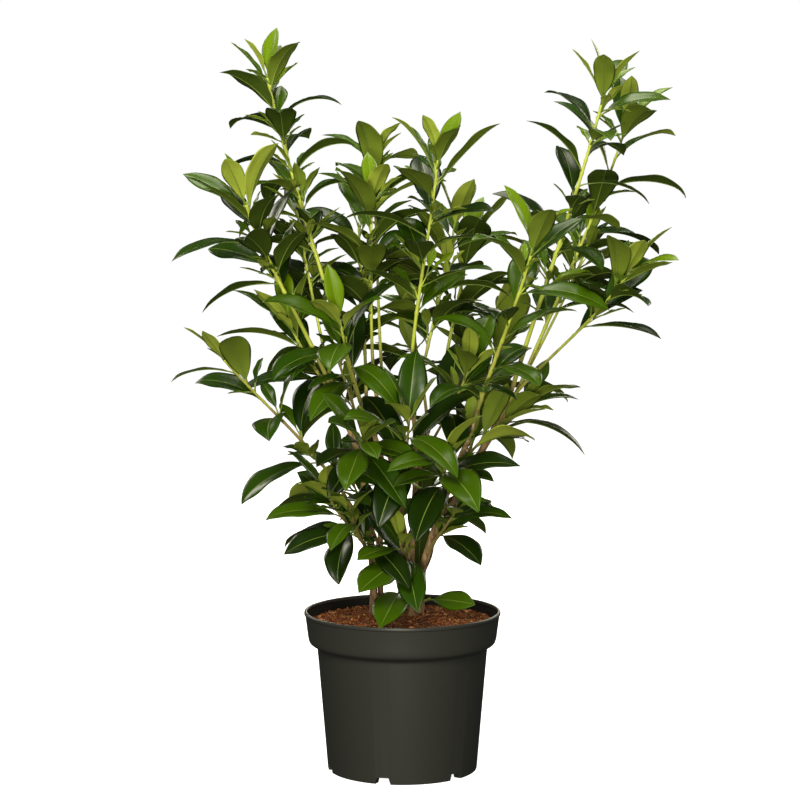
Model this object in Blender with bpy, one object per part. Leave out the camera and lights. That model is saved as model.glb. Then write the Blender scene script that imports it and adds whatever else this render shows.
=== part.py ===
"""A many-stemmed cherry laurel in a round nursery pot, as separate closed solids.

Lengths are in metres and +Z is up. The origin is the middle of the pot's flat underside,
and the front of the shrub faces -Y.
"""

import math
import random

import bmesh
import bpy
from mathutils import Matrix, Vector
from mathutils.bvhtree import BVHTree

# Space between two solids that meet, and the thinnest face that a join may leave.
GAP = 0.0003
THINNEST_FACE = 0.000002

# The pot: a moulded tub with a collar, a rolled lip and a ring of feet.
POT_HEIGHT = 0.228
LIP_RADIUS = 0.140
COLLAR_FOOT_RADIUS = 0.134
COLLAR_FOOT = 0.187
BODY_TOP_RADIUS = 0.1215
BODY_TOP = 0.177
BODY_FOOT_RADIUS = 0.1065
POT_WALL = 0.002
POT_FLOOR = 0.014
DRAIN_CHANNEL_HEIGHT = 0.010
FOOT_PAD_RADIUS = 0.045
FOOT_RING_INNER_RADIUS = 0.094
DRAIN_NOTCHES = 6
FIRST_NOTCH_TURN = math.radians(-75)
NOTCH_WIDTH = 0.022
NOTCH_TOP_WIDTH = 0.017
NOTCH_HEIGHT = 0.0095
POT_SIDES = 40

# The compost, whose surface carries the flat cut feet of the stems.
SOIL_TOP = 0.2135
SOIL_EDGE_DROP = 0.002
SOIL_CLEARANCE = 0.0005

# Woody stems, from the compost to their forks.
STEM_SIDES = 10
STEM_RINGS = 6
ROOT_FLARE = 0.35
ROOT_FLARE_HEIGHT = 0.022
STEMS = {
    "stem_left": dict(
        foot=(-0.042, 0.045), tip=(-0.055, 0.035, 0.415), bow=(0.002, 0.003, 0),
        radii=(0.0056, 0.0046),
    ),
    "stem_left_back": dict(
        foot=(-0.031, 0.078), tip=(-0.028, 0.040, 0.432), bow=(-0.002, 0.006, 0),
        radii=(0.0042, 0.0037),
    ),
    "stem_centre": dict(
        foot=(0.013, 0.030), tip=(-0.005, 0.025, 0.384), bow=(0.003, 0, 0), radii=(0.0044, 0.004),
    ),
    "stem_centre_back": dict(
        foot=(0.014, 0.072), tip=(0.020, 0.066, 0.424), bow=(-0.002, 0.004, 0),
        radii=(0.0042, 0.0037),
    ),
    "stem_right": dict(
        foot=(0.026, 0.042), tip=(0.065, 0.008, 0.401), bow=(-0.006, 0.004, 0),
        radii=(0.0056, 0.0046),
    ),
    "stem_right_back": dict(
        foot=(0.029, 0.088), tip=(0.095, 0.062, 0.418), bow=(-0.010, 0.006, 0),
        radii=(0.0046, 0.0042),
    ),
}

# Brown boughs, from a fork to where the green shoots begin.
BOUGH_SIDES = 8
BOUGH_RINGS = 4
BOUGHS = {
    "bough_left": dict(
        limb="stem_left", place=1.0, tip=(-0.099, -0.020, 0.546), bow=(0.003, 0, 0),
        radii=(0.0046, 0.0034),
    ),
    "bough_left_inner": dict(
        limb="stem_left", place=0.930, tip=(-0.052, 0.060, 0.536), radii=(0.0036, 0.0028),
    ),
    "bough_left_tall": dict(
        limb="stem_left_back", place=1.0, tip=(-0.067, 0.010, 0.549), radii=(0.0037, 0.003),
    ),
    "bough_centre": dict(
        limb="stem_centre", place=1.0, tip=(-0.040, 0.030, 0.550), radii=(0.004, 0.0028),
    ),
    "bough_centre_right": dict(
        limb="stem_centre_back", place=1.0, tip=(0.012, 0.010, 0.565), radii=(0.0037, 0.0027),
    ),
    "bough_back_right": dict(
        limb="stem_centre_back", place=0.860, tip=(0.066, 0.120, 0.591), radii=(0.0031, 0.0024),
    ),
    "bough_front_right": dict(
        limb="stem_right", place=1.0, tip=(0.101, -0.055, 0.509), radii=(0.0045, 0.0032),
    ),
    "bough_right": dict(
        limb="stem_right_back", place=1.0, tip=(0.159, 0.020, 0.553), bow=(0.003, 0, 0),
        radii=(0.0044, 0.0034),
    ),
    "bough_right_back": dict(
        limb="stem_right_back", place=0.900, tip=(0.170, 0.052, 0.548), radii=(0.0036, 0.0028),
    ),
}

# Leafy shoots. Each is one mass: its stem springs from a limb, ends at tip and bows by bow,
# and its leaves are spaced and turned by the growth rule, started by turn, hand and seed.
SHOOT_SIDES = 4
SHOOT_RINGS = 7
SHOOT_RADII = (0.0026, 0.0014)
BUD_LENGTH = 4
SHOOTS = {
    "foliage_tall_left": dict(
        limb="bough_left_tall", place=1.0, tip=(-0.191, 0.040, 0.982), radii=(0.0034, 0.0018),
        leaves=19, turn=260, seed=28, leaf=0.114, lift=36, droop=80,
    ),
    "foliage_upper_left": dict(
        limb="bough_left", place=1.0, tip=(-0.216, -0.080, 0.806), radii=(0.0034, 0.0018), leaves=14,
        turn=60, hand=-1, seed=32, leaf=0.126, spacing=0.012, droop=50,
    ),
    "foliage_side_left": dict(
        limb="stem_left", place=0.500, tip=(-0.245, -0.100, 0.594), bow=(0.008, 0, 0.016),
        radii=(0.003, 0.0016), leaves=9, turn=310, seed=83, leaf=0.126, spacing=0.044, droop=70,
    ),
    "foliage_centre": dict(
        limb="bough_centre", place=1.0, tip=(-0.044, 0.020, 0.811), leaves=13, turn=80, hand=-1,
        seed=46, leaf=0.132,
    ),
    "foliage_centre_left": dict(
        limb="bough_left_inner", place=1.0, tip=(-0.063, 0.110, 0.770), leaves=12, turn=200, hand=-1,
        seed=57, leaf=0.132, spacing=0.020,
    ),
    "foliage_centre_back": dict(
        limb="bough_centre", place=0.500, tip=(-0.042, 0.150, 0.870), leaves=12, turn=100, hand=-1,
        seed=46, leaf=0.114, spacing=0.018, lift=36, droop=70,
    ),
    "foliage_centre_right": dict(
        limb="bough_centre_right", place=1.0, tip=(0.049, -0.050, 0.867), radii=(0.0028, 0.0015),
        leaves=15, turn=200, hand=-1, seed=87, leaf=0.126, spacing=0.018, lift=48, droop=40,
    ),
    "foliage_back_right": dict(
        limb="bough_back_right", place=1.0, tip=(0.100, 0.190, 0.752), leaves=11, turn=240, hand=-1,
        seed=86, leaf=0.132, spacing=0.018,
    ),
    "foliage_mid_right": dict(
        limb="bough_centre_right", place=0.550, tip=(0.076, 0.080, 0.778), leaves=12, turn=200,
        hand=-1, seed=96, leaf=0.126, spacing=0.020,
    ),
    "foliage_front_right": dict(
        limb="bough_front_right", place=1.0, tip=(0.177, -0.150, 0.754), radii=(0.0032, 0.0017),
        leaves=14, turn=0, seed=88, leaf=0.126, spacing=0.024,
    ),
    "foliage_tall_right": dict(
        limb="bough_right", place=1.0, tip=(0.282, -0.030, 0.968), radii=(0.0034, 0.0018), leaves=18,
        turn=180, seed=98, leaf=0.114, spacing=0.020,
    ),
    "foliage_tall_right_back": dict(
        limb="bough_right_back", place=1.0, tip=(0.324, 0.120, 0.916), radii=(0.003, 0.0016),
        leaves=16, turn=230, seed=11, leaf=0.132, spacing=0.024,
    ),
    "foliage_side_right": dict(
        limb="bough_right", place=0.750, tip=(0.310, -0.100, 0.715), leaves=10, turn=310, seed=5,
        leaf=0.126, spacing=0.018, lift=36, droop=40,
    ),
    "foliage_front_centre": dict(
        limb="stem_centre", place=0.820, tip=(0.009, -0.120, 0.516), leaves=9, turn=140, hand=-1,
        seed=96, leaf=0.132, spacing=0.018,
    ),
    "foliage_front_mid": dict(
        limb="stem_centre_back", place=0.950, tip=(0.090, -0.030, 0.568), leaves=10, turn=140,
        hand=-1, seed=16, leaf=0.132, spacing=0.014,
    ),
    "foliage_low_left": dict(
        limb="stem_left", place=0.420, tip=(-0.102, -0.030, 0.392), leaves=8, turn=30, hand=-1,
        seed=11, leaf=0.126, spacing=0.018,
    ),
    "foliage_low_front_left": dict(
        limb="stem_left", place=0.340, tip=(-0.072, -0.100, 0.385), leaves=8, turn=210, seed=82,
        leaf=0.114, spacing=0.024, lift=48, droop=70,
    ),
    "foliage_low_right": dict(
        limb="stem_right", place=0.480, tip=(0.074, -0.040, 0.378), leaves=9, turn=320, seed=14,
        leaf=0.120, spacing=0.020,
    ),
    "foliage_mid_side_right": dict(
        limb="bough_front_right", place=0.300, tip=(0.118, 0, 0.480), leaves=8, turn=120, hand=-1,
        seed=36, leaf=0.132, spacing=0.014,
    ),
    "foliage_low_front": dict(
        limb="stem_centre", place=0.400, tip=(-0.003, -0.060, 0.334), leaves=7, turn=120, hand=-1,
        seed=43, leaf=0.126, spacing=0.028, droop=40,
    ),
    "foliage_foot_front": dict(
        limb="stem_centre", place=0.400, tip=(-0.004, -0.030, 0.300), leaves=1, turn=300, seed=1,
        leaf=0.250, roll=-20,
    ),
    "foliage_foot_low": dict(
        limb="stem_centre", place=0.200, tip=(-0.004, -0.010, 0.255), leaves=1, turn=330, seed=59,
        leaf=0.210, roll=-20,
    ),
    "foliage_foot_right": dict(
        limb="stem_right", place=0.100, tip=(0.036, 0.030, 0.238), leaves=1, turn=270, seed=73,
        leaf=0.150, roll=60,
    ),
    "foliage_mid_front_left": dict(
        limb="bough_left", place=0.200, tip=(-0.055, -0.140, 0.488), leaves=10, turn=70, hand=-1,
        seed=21, leaf=0.126, spacing=0.014, lift=36, droop=40,
    ),
    "foliage_mid_front_right": dict(
        limb="stem_right", place=0.800, tip=(0.058, -0.120, 0.458), leaves=9, turn=120, hand=-1,
        seed=10, leaf=0.132, spacing=0.014, lift=36, droop=70,
    ),
    "foliage_front_left": dict(
        limb="bough_left_tall", place=0.800, tip=(-0.085, -0.080, 0.640), leaves=10, turn=90,
        seed=84, leaf=0.132, droop=70,
    ),
    "foliage_outer_left": dict(
        limb="bough_left", place=0.800, tip=(-0.158, -0.020, 0.637), leaves=9, turn=50, hand=-1,
        seed=97, leaf=0.132, spacing=0.018,
    ),
    "foliage_back_left": dict(
        limb="stem_left_back", place=0.750, tip=(-0.125, 0.200, 0.674), leaves=13, turn=290, seed=1,
        leaf=0.132, spacing=0.020,
    ),
    "foliage_back_centre": dict(
        limb="bough_back_right", place=0.400, tip=(0.010, 0.220, 0.660), leaves=12, turn=90, seed=38,
        leaf=0.132,
    ),
    "foliage_back_right_low": dict(
        limb="stem_right_back", place=0.800, tip=(0.146, 0.200, 0.614), leaves=12, turn=120, seed=58,
        leaf=0.132, spacing=0.022,
    ),
    "foliage_low_back_left": dict(
        limb="stem_left_back", place=0.400, tip=(-0.078, 0.200, 0.400), leaves=9, turn=310, seed=10,
        leaf=0.132, spacing=0.018,
    ),
    "foliage_low_back_right": dict(
        limb="stem_centre_back", place=0.450, tip=(0.042, 0.210, 0.380), leaves=9, turn=340, hand=-1,
        seed=19, leaf=0.132, spacing=0.018,
    ),
    "foliage_low_side_right": dict(
        limb="bough_right", place=0.350, tip=(0.183, 0.070, 0.520), leaves=7, turn=320, hand=-1,
        seed=95, leaf=0.120, spacing=0.014,
    ),
    "foliage_inner_left": dict(
        limb="bough_left", place=0.900, tip=(-0.150, 0.060, 0.790), leaves=9, turn=20, hand=-1,
        seed=12, leaf=0.126, spacing=0.018,
    ),
    "foliage_inner_right": dict(
        limb="bough_right_back", place=0.600, tip=(0.270, 0.100, 0.750), leaves=9, turn=310, hand=-1,
        seed=32, leaf=0.120, spacing=0.014,
    ),
}

# Sides and rings of each kind of limb, and how far one is cut clear of another's side and end.
LIMB_FACETS = {
    "stem": (STEM_SIDES, STEM_RINGS),
    "bough": (BOUGH_SIDES, BOUGH_RINGS),
    "shoot": (SHOOT_SIDES, SHOOT_RINGS),
}
CUT_CLEARANCE = 0.0007
END_CLEARANCE = 0.00025

# The growth rule. A shoot's own spacing, and its own lift, droop and roll in degrees, stand in for these.
LEAF_TURN = math.radians(137.5)
TURN_SCATTER = math.radians(14)
FIRST_LEAF_DROP = 0.001
LEAF_SPACING = 0.016
TIGHT_SPACING = 0.25
LEAVES_TO_FULL_SPACING = 4
TIP_LIFT = math.radians(15)
SIDE_LIFT = 42
LEAVES_TO_SIDE_LIFT = 6
LIFT_SCATTER = math.radians(9)
SKYWARD = 0.55
ROLL_SCATTER = math.radians(16)
TIP_DROOP = math.radians(24)
SIDE_DROOP = 60
DROOP_SCATTER = math.radians(20)
DROOP_CURVE = 0.9
TRIES = 7
TRY_TURN = math.radians(17)
TRY_SHRINK = 0.95

# One leaf: a stalk, then a folded blade.
LEAF_LENGTH = 0.122
YOUNG_LEAF = 0.62
LEAVES_TO_FULL_SIZE = 4
SIZE_SCATTER = 0.09
STALK = 0.012
STALK_HALF_WIDTH = 0.0011
BLADE_HALF_WIDTH = 0.180
BLADE_THICKNESS = 0.0110
FOLD = 0.22
BLADE_STATIONS = ((0.32, 0.84), (0.72, 0.95))
LEAF_CLEARANCE = 0.0006


def start_empty():
    """Take everything out of the scene."""
    for item in list(bpy.data.objects):
        bpy.data.objects.remove(item, do_unlink=True)


def finish(name, colour, roughness):
    """A plain material with one colour."""
    material = bpy.data.materials.new(name)
    material.use_nodes = True
    shader = material.node_tree.nodes["Principled BSDF"]
    shader.inputs["Base Color"].default_value = (*colour, 1)
    shader.inputs["Roughness"].default_value = roughness
    shader.inputs["Metallic"].default_value = 0
    material.diffuse_color = (*colour, 1)
    return material


def place_mesh(name, vertices, faces, material, smooth_angle=math.radians(40)):
    """A named object in the scene from vertices and faces."""
    mesh = bpy.data.meshes.new(name)
    mesh.from_pydata([tuple(v) for v in vertices], [], faces)
    mesh.validate()
    mesh.shade_smooth()
    mesh.set_sharp_from_angle(angle=smooth_angle)
    mesh.materials.append(material)
    item = bpy.data.objects.new(name, mesh)
    bpy.context.scene.collection.objects.link(item)
    return item


def turned(profile, sides):
    """A closed solid turned about Z from points (radius, height), bottom centre to top centre."""
    vertices = []
    rings = []
    for radius, height in profile:
        if radius == 0:
            rings.append([len(vertices)])
            vertices.append(Vector((0, 0, height)))
            continue
        rings.append(list(range(len(vertices), len(vertices) + sides)))
        for side in range(sides):
            turn = 2 * math.pi * side / sides
            vertices.append(Vector((radius * math.cos(turn), radius * math.sin(turn), height)))
    faces = []
    for low, high in zip(rings, rings[1:]):
        for side in range(sides):
            after = (side + 1) % sides
            if len(low) == 1:
                faces.append((low[0], high[after], high[side]))
            elif len(high) == 1:
                faces.append((low[side], low[after], high[0]))
            else:
                faces.append((low[side], low[after], high[after], high[side]))
    return vertices, faces


def joined(item, others, operation):
    """Apply one Boolean of item with a collection of other objects, which are then removed."""
    group = bpy.data.collections.new("operands")
    bpy.context.scene.collection.children.link(group)
    for other in others:
        group.objects.link(other)
    modifier = item.modifiers.new("boolean", "BOOLEAN")
    modifier.operand_type = "COLLECTION"
    modifier.collection = group
    modifier.operation = operation
    for solver in ("EXACT", "MANIFOLD"):
        modifier.solver = solver
        view = bpy.context.evaluated_depsgraph_get()
        shaped = bpy.data.meshes.new_from_object(item.evaluated_get(view))
        keep_largest_body(shaped)
        if is_sound(shaped):
            break
    item.modifiers.clear()
    item.data = shaped
    for other in others:
        bpy.data.objects.remove(other, do_unlink=True)
    bpy.data.collections.remove(group)


def keep_largest_body(mesh):
    """Drop loose scraps, and the inner skin of a hollow that a join has sealed."""
    work = bmesh.new()
    work.from_mesh(mesh)
    waiting = set(work.verts)
    bodies = []
    while waiting:
        body = {waiting.pop()}
        edge = list(body)
        while edge:
            found = {link.other_vert(vert) for vert in edge for link in vert.link_edges} & waiting
            waiting -= found
            body |= found
            edge = list(found)
        bodies.append(body)
    bodies.sort(key=len)
    for body in bodies[:-1]:
        bmesh.ops.delete(work, geom=list(body), context="VERTS")
    work.to_mesh(mesh)
    work.free()


def is_sound(mesh):
    """Whether every edge has two faces and no triangle is a sliver."""
    work = bmesh.new()
    work.from_mesh(mesh)
    closed = all(edge.is_manifold for edge in work.edges)
    work.free()
    mesh.calc_loop_triangles()
    for triangle in mesh.loop_triangles:
        a, b, c = (mesh.vertices[i].co for i in triangle.vertices)
        longest = max((a - b).length, (b - c).length, (c - a).length)
        if triangle.area * 2 < THINNEST_FACE * longest:
            return False
    return closed


def collar_radius(height):
    """Outer radius of the collar at a height."""
    along = (height - COLLAR_FOOT) / (POT_HEIGHT - COLLAR_FOOT)
    return COLLAR_FOOT_RADIUS + along * (LIP_RADIUS - 0.0008 - COLLAR_FOOT_RADIUS)


def pot_inside():
    """Inner profile of the pot, from its floor to just under the lip."""
    return [
        (BODY_FOOT_RADIUS - 2 * POT_WALL, POT_FLOOR),
        (BODY_FOOT_RADIUS - POT_WALL, POT_FLOOR + POT_WALL),
        (BODY_TOP_RADIUS - POT_WALL, BODY_TOP),
        (BODY_TOP_RADIUS + 0.0015, BODY_TOP + 0.0045),
        (COLLAR_FOOT_RADIUS - 1.15 * POT_WALL, COLLAR_FOOT + POT_WALL),
        (collar_radius(POT_HEIGHT - 0.005) - POT_WALL, POT_HEIGHT - 0.005),
    ]


def build_pot(material):
    """The tub with its collar, lip, feet and drain notches."""
    under = [
        (0, 0),
        (FOOT_PAD_RADIUS, 0),
        (FOOT_PAD_RADIUS + 0.002, DRAIN_CHANNEL_HEIGHT),
        (FOOT_RING_INNER_RADIUS - 0.002, DRAIN_CHANNEL_HEIGHT),
        (FOOT_RING_INNER_RADIUS, 0),
    ]
    outside = [
        (BODY_FOOT_RADIUS - 0.0015, 0),
        (BODY_FOOT_RADIUS, 0.002),
        (BODY_TOP_RADIUS, BODY_TOP),
        (BODY_TOP_RADIUS + 0.0040, BODY_TOP + 0.0020),
        (COLLAR_FOOT_RADIUS - 0.0025, COLLAR_FOOT - 0.0040),
        (COLLAR_FOOT_RADIUS, COLLAR_FOOT),
        (collar_radius(POT_HEIGHT - 0.0048), POT_HEIGHT - 0.0048),
        (LIP_RADIUS, POT_HEIGHT - 0.0034),
        (LIP_RADIUS, POT_HEIGHT - 0.0010),
        (LIP_RADIUS - 0.0010, POT_HEIGHT),
        (LIP_RADIUS - 0.0028, POT_HEIGHT),
        (LIP_RADIUS - 0.0036, POT_HEIGHT - 0.0020),
    ]
    inside = pot_inside()[::-1] + [(0, POT_FLOOR)]
    pot = place_mesh("pot", *turned(under + outside + inside, POT_SIDES), material, math.radians(30))
    cutters = []
    for notch in range(DRAIN_NOTCHES):
        turn = FIRST_NOTCH_TURN + notch * 2 * math.pi / DRAIN_NOTCHES
        outward = Vector((math.sin(turn), -math.cos(turn), 0))
        across = Vector((math.cos(turn), math.sin(turn), 0))
        corners = []
        for radius in (FOOT_RING_INNER_RADIUS - 0.006, BODY_FOOT_RADIUS + 0.006):
            for width, height in ((NOTCH_WIDTH, -0.002), (NOTCH_TOP_WIDTH, NOTCH_HEIGHT)):
                for side in (-0.5, 0.5):
                    level = outward * radius + across * width * side
                    corners.append(level + Vector((0, 0, height)))
        faces = [
            (0, 2, 3, 1),
            (4, 5, 7, 6),
            (0, 1, 5, 4),
            (2, 6, 7, 3),
            (0, 4, 6, 2),
            (1, 3, 7, 5),
        ]
        cutters.append(place_mesh("notch_cutter", corners, faces, material))
    joined(pot, cutters, "DIFFERENCE")
    return pot


def build_soil(material):
    """The compost that fills the pot, with a flat top that falls a little to the wall."""
    wall = [(radius - SOIL_CLEARANCE, height) for radius, height in pot_inside()]
    rim_radius = collar_radius(SOIL_TOP - SOIL_EDGE_DROP) - POT_WALL - SOIL_CLEARANCE
    profile = [(0, POT_FLOOR + SOIL_CLEARANCE), (wall[0][0], POT_FLOOR + SOIL_CLEARANCE)]
    profile += wall[1:-1]
    profile += [
        (rim_radius, SOIL_TOP - SOIL_EDGE_DROP),
        (rim_radius - 0.008, SOIL_TOP - SOIL_EDGE_DROP / 3),
        (rim_radius - 0.030, SOIL_TOP),
        (0, SOIL_TOP),
    ]
    return place_mesh("soil", *turned(profile, POT_SIDES), material)


class Limb:
    """A tapering limb on a smooth curve from foot to tip."""

    def __init__(self, kind, foot, start, tip, radii, foot_facing=None, bow=(0, 0, 0), curl=0.25):
        self.kind = kind
        self.radii = radii
        self.foot_facing = foot_facing or start.normalized()
        chord = Vector(tip) - Vector(foot)
        self.start = start.normalized()
        self.end = (chord.normalized() + Vector((0, 0, curl))).normalized()
        third = chord.length / 3
        bend = Vector(bow) * 4 / 3
        self.handles = (
            Vector(foot),
            Vector(foot) + self.start * third + bend,
            Vector(tip) - self.end * third + bend,
            Vector(tip),
        )
        self.length = sum((self.point((i + 1) / 16) - self.point(i / 16)).length for i in range(16))

    def point(self, along):
        """The place a share of the way along."""
        a, b, c, d = self.handles
        rest = 1 - along
        return a * rest**3 + b * 3 * rest**2 * along + c * 3 * rest * along**2 + d * along**3

    def heading(self, along):
        """The direction of growth there."""
        a, b, c, d = self.handles
        rest = 1 - along
        return ((b - a) * rest**2 + (c - b) * 2 * rest * along + (d - c) * along**2).normalized()

    def radius(self, along):
        """The radius there."""
        return self.radii[0] + (self.radii[1] - self.radii[0]) * along


def square_to(heading):
    """Two directions at right angles to a heading, the first as near +X as can be."""
    side = Vector((1, 0, 0)) - heading * heading.x
    if side.length < 0.2:
        side = Vector((0, 1, 0)) - heading * heading.y
    side.normalize()
    return side, heading.cross(side)


def ring(centre, heading, radius, sides):
    """Points round a centre, square to a heading."""
    side, other = square_to(heading)
    turns = [2 * math.pi * i / sides for i in range(sides)]
    return [centre + (side * math.cos(turn) + other * math.sin(turn)) * radius for turn in turns]


def tube(rings, foot_centre, tip_point):
    """A closed tube through rings of equal count, capped at a centre point at each end."""
    sides = len(rings[0])
    vertices = [v for one in rings for v in one] + [foot_centre, tip_point]
    foot, tip = len(vertices) - 2, len(vertices) - 1
    last = (len(rings) - 1) * sides
    faces = []
    for side in range(sides):
        after = (side + 1) % sides
        faces.append((foot, after, side))
        faces.append((last + side, last + after, tip))
        for row in range(0, last, sides):
            faces.append((row + side, row + after, row + sides + after, row + sides + side))
    return vertices, faces


def limb_solid(limb, sides, rings, grown=0.0):
    """A limb's tube, thickened by grown. A stem has a flared level foot, and a shoot ends in a bud."""
    rows = []
    for row in range(rings):
        along = row / (rings - 1)
        heading = limb.foot_facing if row == 0 else limb.heading(along)
        radius = limb.radius(along)
        if limb.kind == "stem" and row < rings - 1:
            heading = Vector((0, 0, 1))
            above = limb.point(along).z - limb.point(0).z
            radius *= 1 + ROOT_FLARE * math.exp(-above / ROOT_FLARE_HEIGHT)
        ahead = min(grown, END_CLEARANCE) * ((row == rings - 1) - (row == 0))
        rows.append(ring(limb.point(along) + heading * ahead, heading, radius + grown, sides))
    ends = min(grown, END_CLEARANCE)
    bud = limb.radius(1) * BUD_LENGTH if limb.kind == "shoot" else 0
    return tube(rows, limb.point(0) - limb.foot_facing * ends, limb.point(1) + limb.end * (bud + ends))


class Space:
    """What has been placed so far, to keep leaves and twigs clear of it."""

    def __init__(self):
        self.items = []

    def add(self, owner, kind, vertices, faces):
        """Remember a closed piece."""
        self.items.append((owner, kind, bounds_of(vertices), BVHTree.FromPolygons(vertices, faces)))

    def met(self, owner, kinds_of_own, vertices, faces):
        """The owners of the pieces that a piece meets, its own owner's only where of the kinds given."""
        low, high = bounds_of(vertices)
        tree = BVHTree.FromPolygons(vertices, faces)
        for other, kind, (other_low, other_high), other_tree in self.items:
            if other == owner and kind not in kinds_of_own:
                continue
            if any(low[i] > other_high[i] or high[i] < other_low[i] for i in range(3)):
                continue
            if tree.overlap(other_tree):
                yield other

    def free(self, owner, kinds_of_own, vertices, faces):
        """Whether a piece meets nothing."""
        return not any(True for _ in self.met(owner, kinds_of_own, vertices, faces))


def bounds_of(vertices):
    """Lowest and highest corner of some points."""
    return (
        [min(v[i] for v in vertices) for i in range(3)],
        [max(v[i] for v in vertices) for i in range(3)],
    )


class Leaf:
    """One leaf, by its root, first direction, upper side, length and droop."""

    def __init__(self, root, direction, upward, length, droop):
        self.root = root
        self.direction = direction
        self.upward = upward
        self.length = length
        self.droop = droop

    def midrib(self, along):
        """Place, direction and upper side on the midrib, a share of the way along the leaf."""
        steps = max(1, round(along * 12))
        side = self.upward.cross(self.direction).normalized()
        place = self.root.copy()
        step = self.length * along / steps
        for number in range(steps):
            bent = self.bent_by(along * (number + 0.5) / steps)
            place += (Matrix.Rotation(bent, 3, side) @ self.direction) * step
        turn = Matrix.Rotation(self.bent_by(along), 3, side)
        return place, turn @ self.direction, turn @ self.upward, side

    def bent_by(self, along):
        """How far the leaf has drooped at a share of its length."""
        return self.droop * along**DROOP_CURVE

    def section(self, along, half_width, half_thickness, fold):
        """Points round the blade: its two edges, its crease above and its keel below."""
        place, _, upward, side = self.midrib(along)
        lift = upward * half_width * fold
        return [
            place + side * half_width + lift,
            place + upward * half_thickness,
            place - side * half_width + lift,
            place - upward * half_thickness,
        ]

    def stalk_section(self, along, half_width):
        """Three points round the stalk."""
        place, _, upward, side = self.midrib(along)
        top = place + upward * half_width * 0.6
        return [top + side * half_width, top - side * half_width, place - upward * half_width]

    def solid(self, grown=0.0, whole=True):
        """Vertices and faces of the leaf, or of all but its root, thickened by grown."""
        stalk = STALK / self.length
        thick = self.length * BLADE_THICKNESS / 2 + grown
        wide = (self.length - STALK) * BLADE_HALF_WIDTH
        rows = [self.stalk_section(stalk, STALK_HALF_WIDTH + grown)]
        if whole:
            rows.insert(0, self.stalk_section(0, STALK_HALF_WIDTH * 0.6))
        for share, width in BLADE_STATIONS:
            along = stalk + (1 - stalk) * share
            rows.append(self.section(along, wide * width + grown, thick, FOLD))
        tip = self.midrib(1)[0]
        if grown:
            tip = tip + (tip - self.midrib(0.95)[0]).normalized() * grown * 2
        vertices = [v for row in rows for v in row] + [tip]
        faces = [(2, 1, 0)]
        base = 3 * (len(rows) - len(BLADE_STATIONS))
        if whole:
            faces += [(0, 1, 4, 3), (1, 2, 5, 4), (2, 0, 3, 5)]
        right, left, under = base - 3, base - 2, base - 1
        faces += [
            (right, left, base + 1),
            (right, base + 1, base),
            (left, base + 2, base + 1),
            (left, under, base + 3, base + 2),
            (under, right, base, base + 3),
        ]
        for row in range(base, base + 4 * (len(BLADE_STATIONS) - 1), 4):
            for edge in range(4):
                after = (edge + 1) % 4
                faces.append((row + edge, row + after, row + 4 + after, row + 4 + edge))
        last = len(vertices) - 5
        faces += [(last + edge, last + (edge + 1) % 4, len(vertices) - 1) for edge in range(4)]
        return vertices, faces


def blend(low, high, share):
    """From low to high as share goes from nought to one."""
    return low + (high - low) * min(1, share)


def leaf_on(stem, along, turn, lift, roll, length, droop):
    """A leaf that leaves a stem at a turn round it and an angle from it."""
    heading = stem.heading(along)
    side, other = square_to(heading)
    outward = side * math.cos(turn) + other * math.sin(turn)
    direction = (heading * math.cos(lift) + outward * math.sin(lift)).normalized()
    upward = heading * (1 - SKYWARD) + Vector((0, 0, SKYWARD))
    upward = (upward - direction * upward.dot(direction)).normalized()
    upward = Matrix.Rotation(roll, 3, direction) @ upward
    return Leaf(stem.point(along), direction, upward, length, droop)


def grow_leaves(name, stem, rule, space):
    """Leaves down a stem from its tip, each tried until it is clear of everything."""
    rng = random.Random(rule["seed"])
    leaves = []
    drop = FIRST_LEAF_DROP
    for number in range(rule["leaves"]):
        turn = math.radians(rule["turn"]) + rule.get("hand", 1) * number * LEAF_TURN
        turn += rng.uniform(-TURN_SCATTER, TURN_SCATTER)
        low_share = number / LEAVES_TO_SIDE_LIFT
        lift = blend(TIP_LIFT, math.radians(rule.get("lift", SIDE_LIFT)), low_share)
        lift += rng.uniform(-LIFT_SCATTER, LIFT_SCATTER)
        droop = blend(TIP_DROOP, math.radians(rule.get("droop", SIDE_DROOP)), low_share)
        droop += rng.uniform(-DROOP_SCATTER, DROOP_SCATTER)
        roll = math.radians(rule.get("roll", 0)) + rng.uniform(-ROLL_SCATTER, ROLL_SCATTER)
        length = rule.get("leaf", LEAF_LENGTH) * blend(YOUNG_LEAF, 1, number / LEAVES_TO_FULL_SIZE)
        length *= 1 + rng.uniform(-SIZE_SCATTER, SIZE_SCATTER)
        along = 1 - drop / stem.length
        spacing = rule.get("spacing", LEAF_SPACING)
        drop += spacing * blend(TIGHT_SPACING, 1, number / LEAVES_TO_FULL_SPACING)
        if along < 0.06:
            break
        for attempt in range(TRIES):
            swing = TRY_TURN * ((attempt + 1) // 2) * (-1) ** attempt
            leaf = leaf_on(stem, along, turn + swing, lift, roll, length * TRY_SHRINK**attempt, droop)
            blade = leaf.solid(LEAF_CLEARANCE, whole=False)
            whole = leaf.solid(LEAF_CLEARANCE)
            if space.free(name, ("blade",), *blade) and space.free(name, (), *whole):
                space.add(name, "blade", *blade)
                space.add(name, "leaf", *leaf.solid())
                leaves.append(leaf)
                break
    return leaves


def grown_from(kind, size, parent):
    """A limb that springs from another limb's tip or from inside its side."""
    place = size["place"]
    heading = parent.heading(place)
    chord = (Vector(size["tip"]) - parent.point(place)).normalized()
    if place == 1:
        foot = parent.point(1) + heading * GAP
        return Limb(kind, foot, heading * 0.8 + chord, size["tip"], size["radii"], heading, size["bow"])
    start = chord + heading * 0.25
    return Limb(kind, parent.point(place), start, size["tip"], size["radii"], None, size["bow"])


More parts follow.
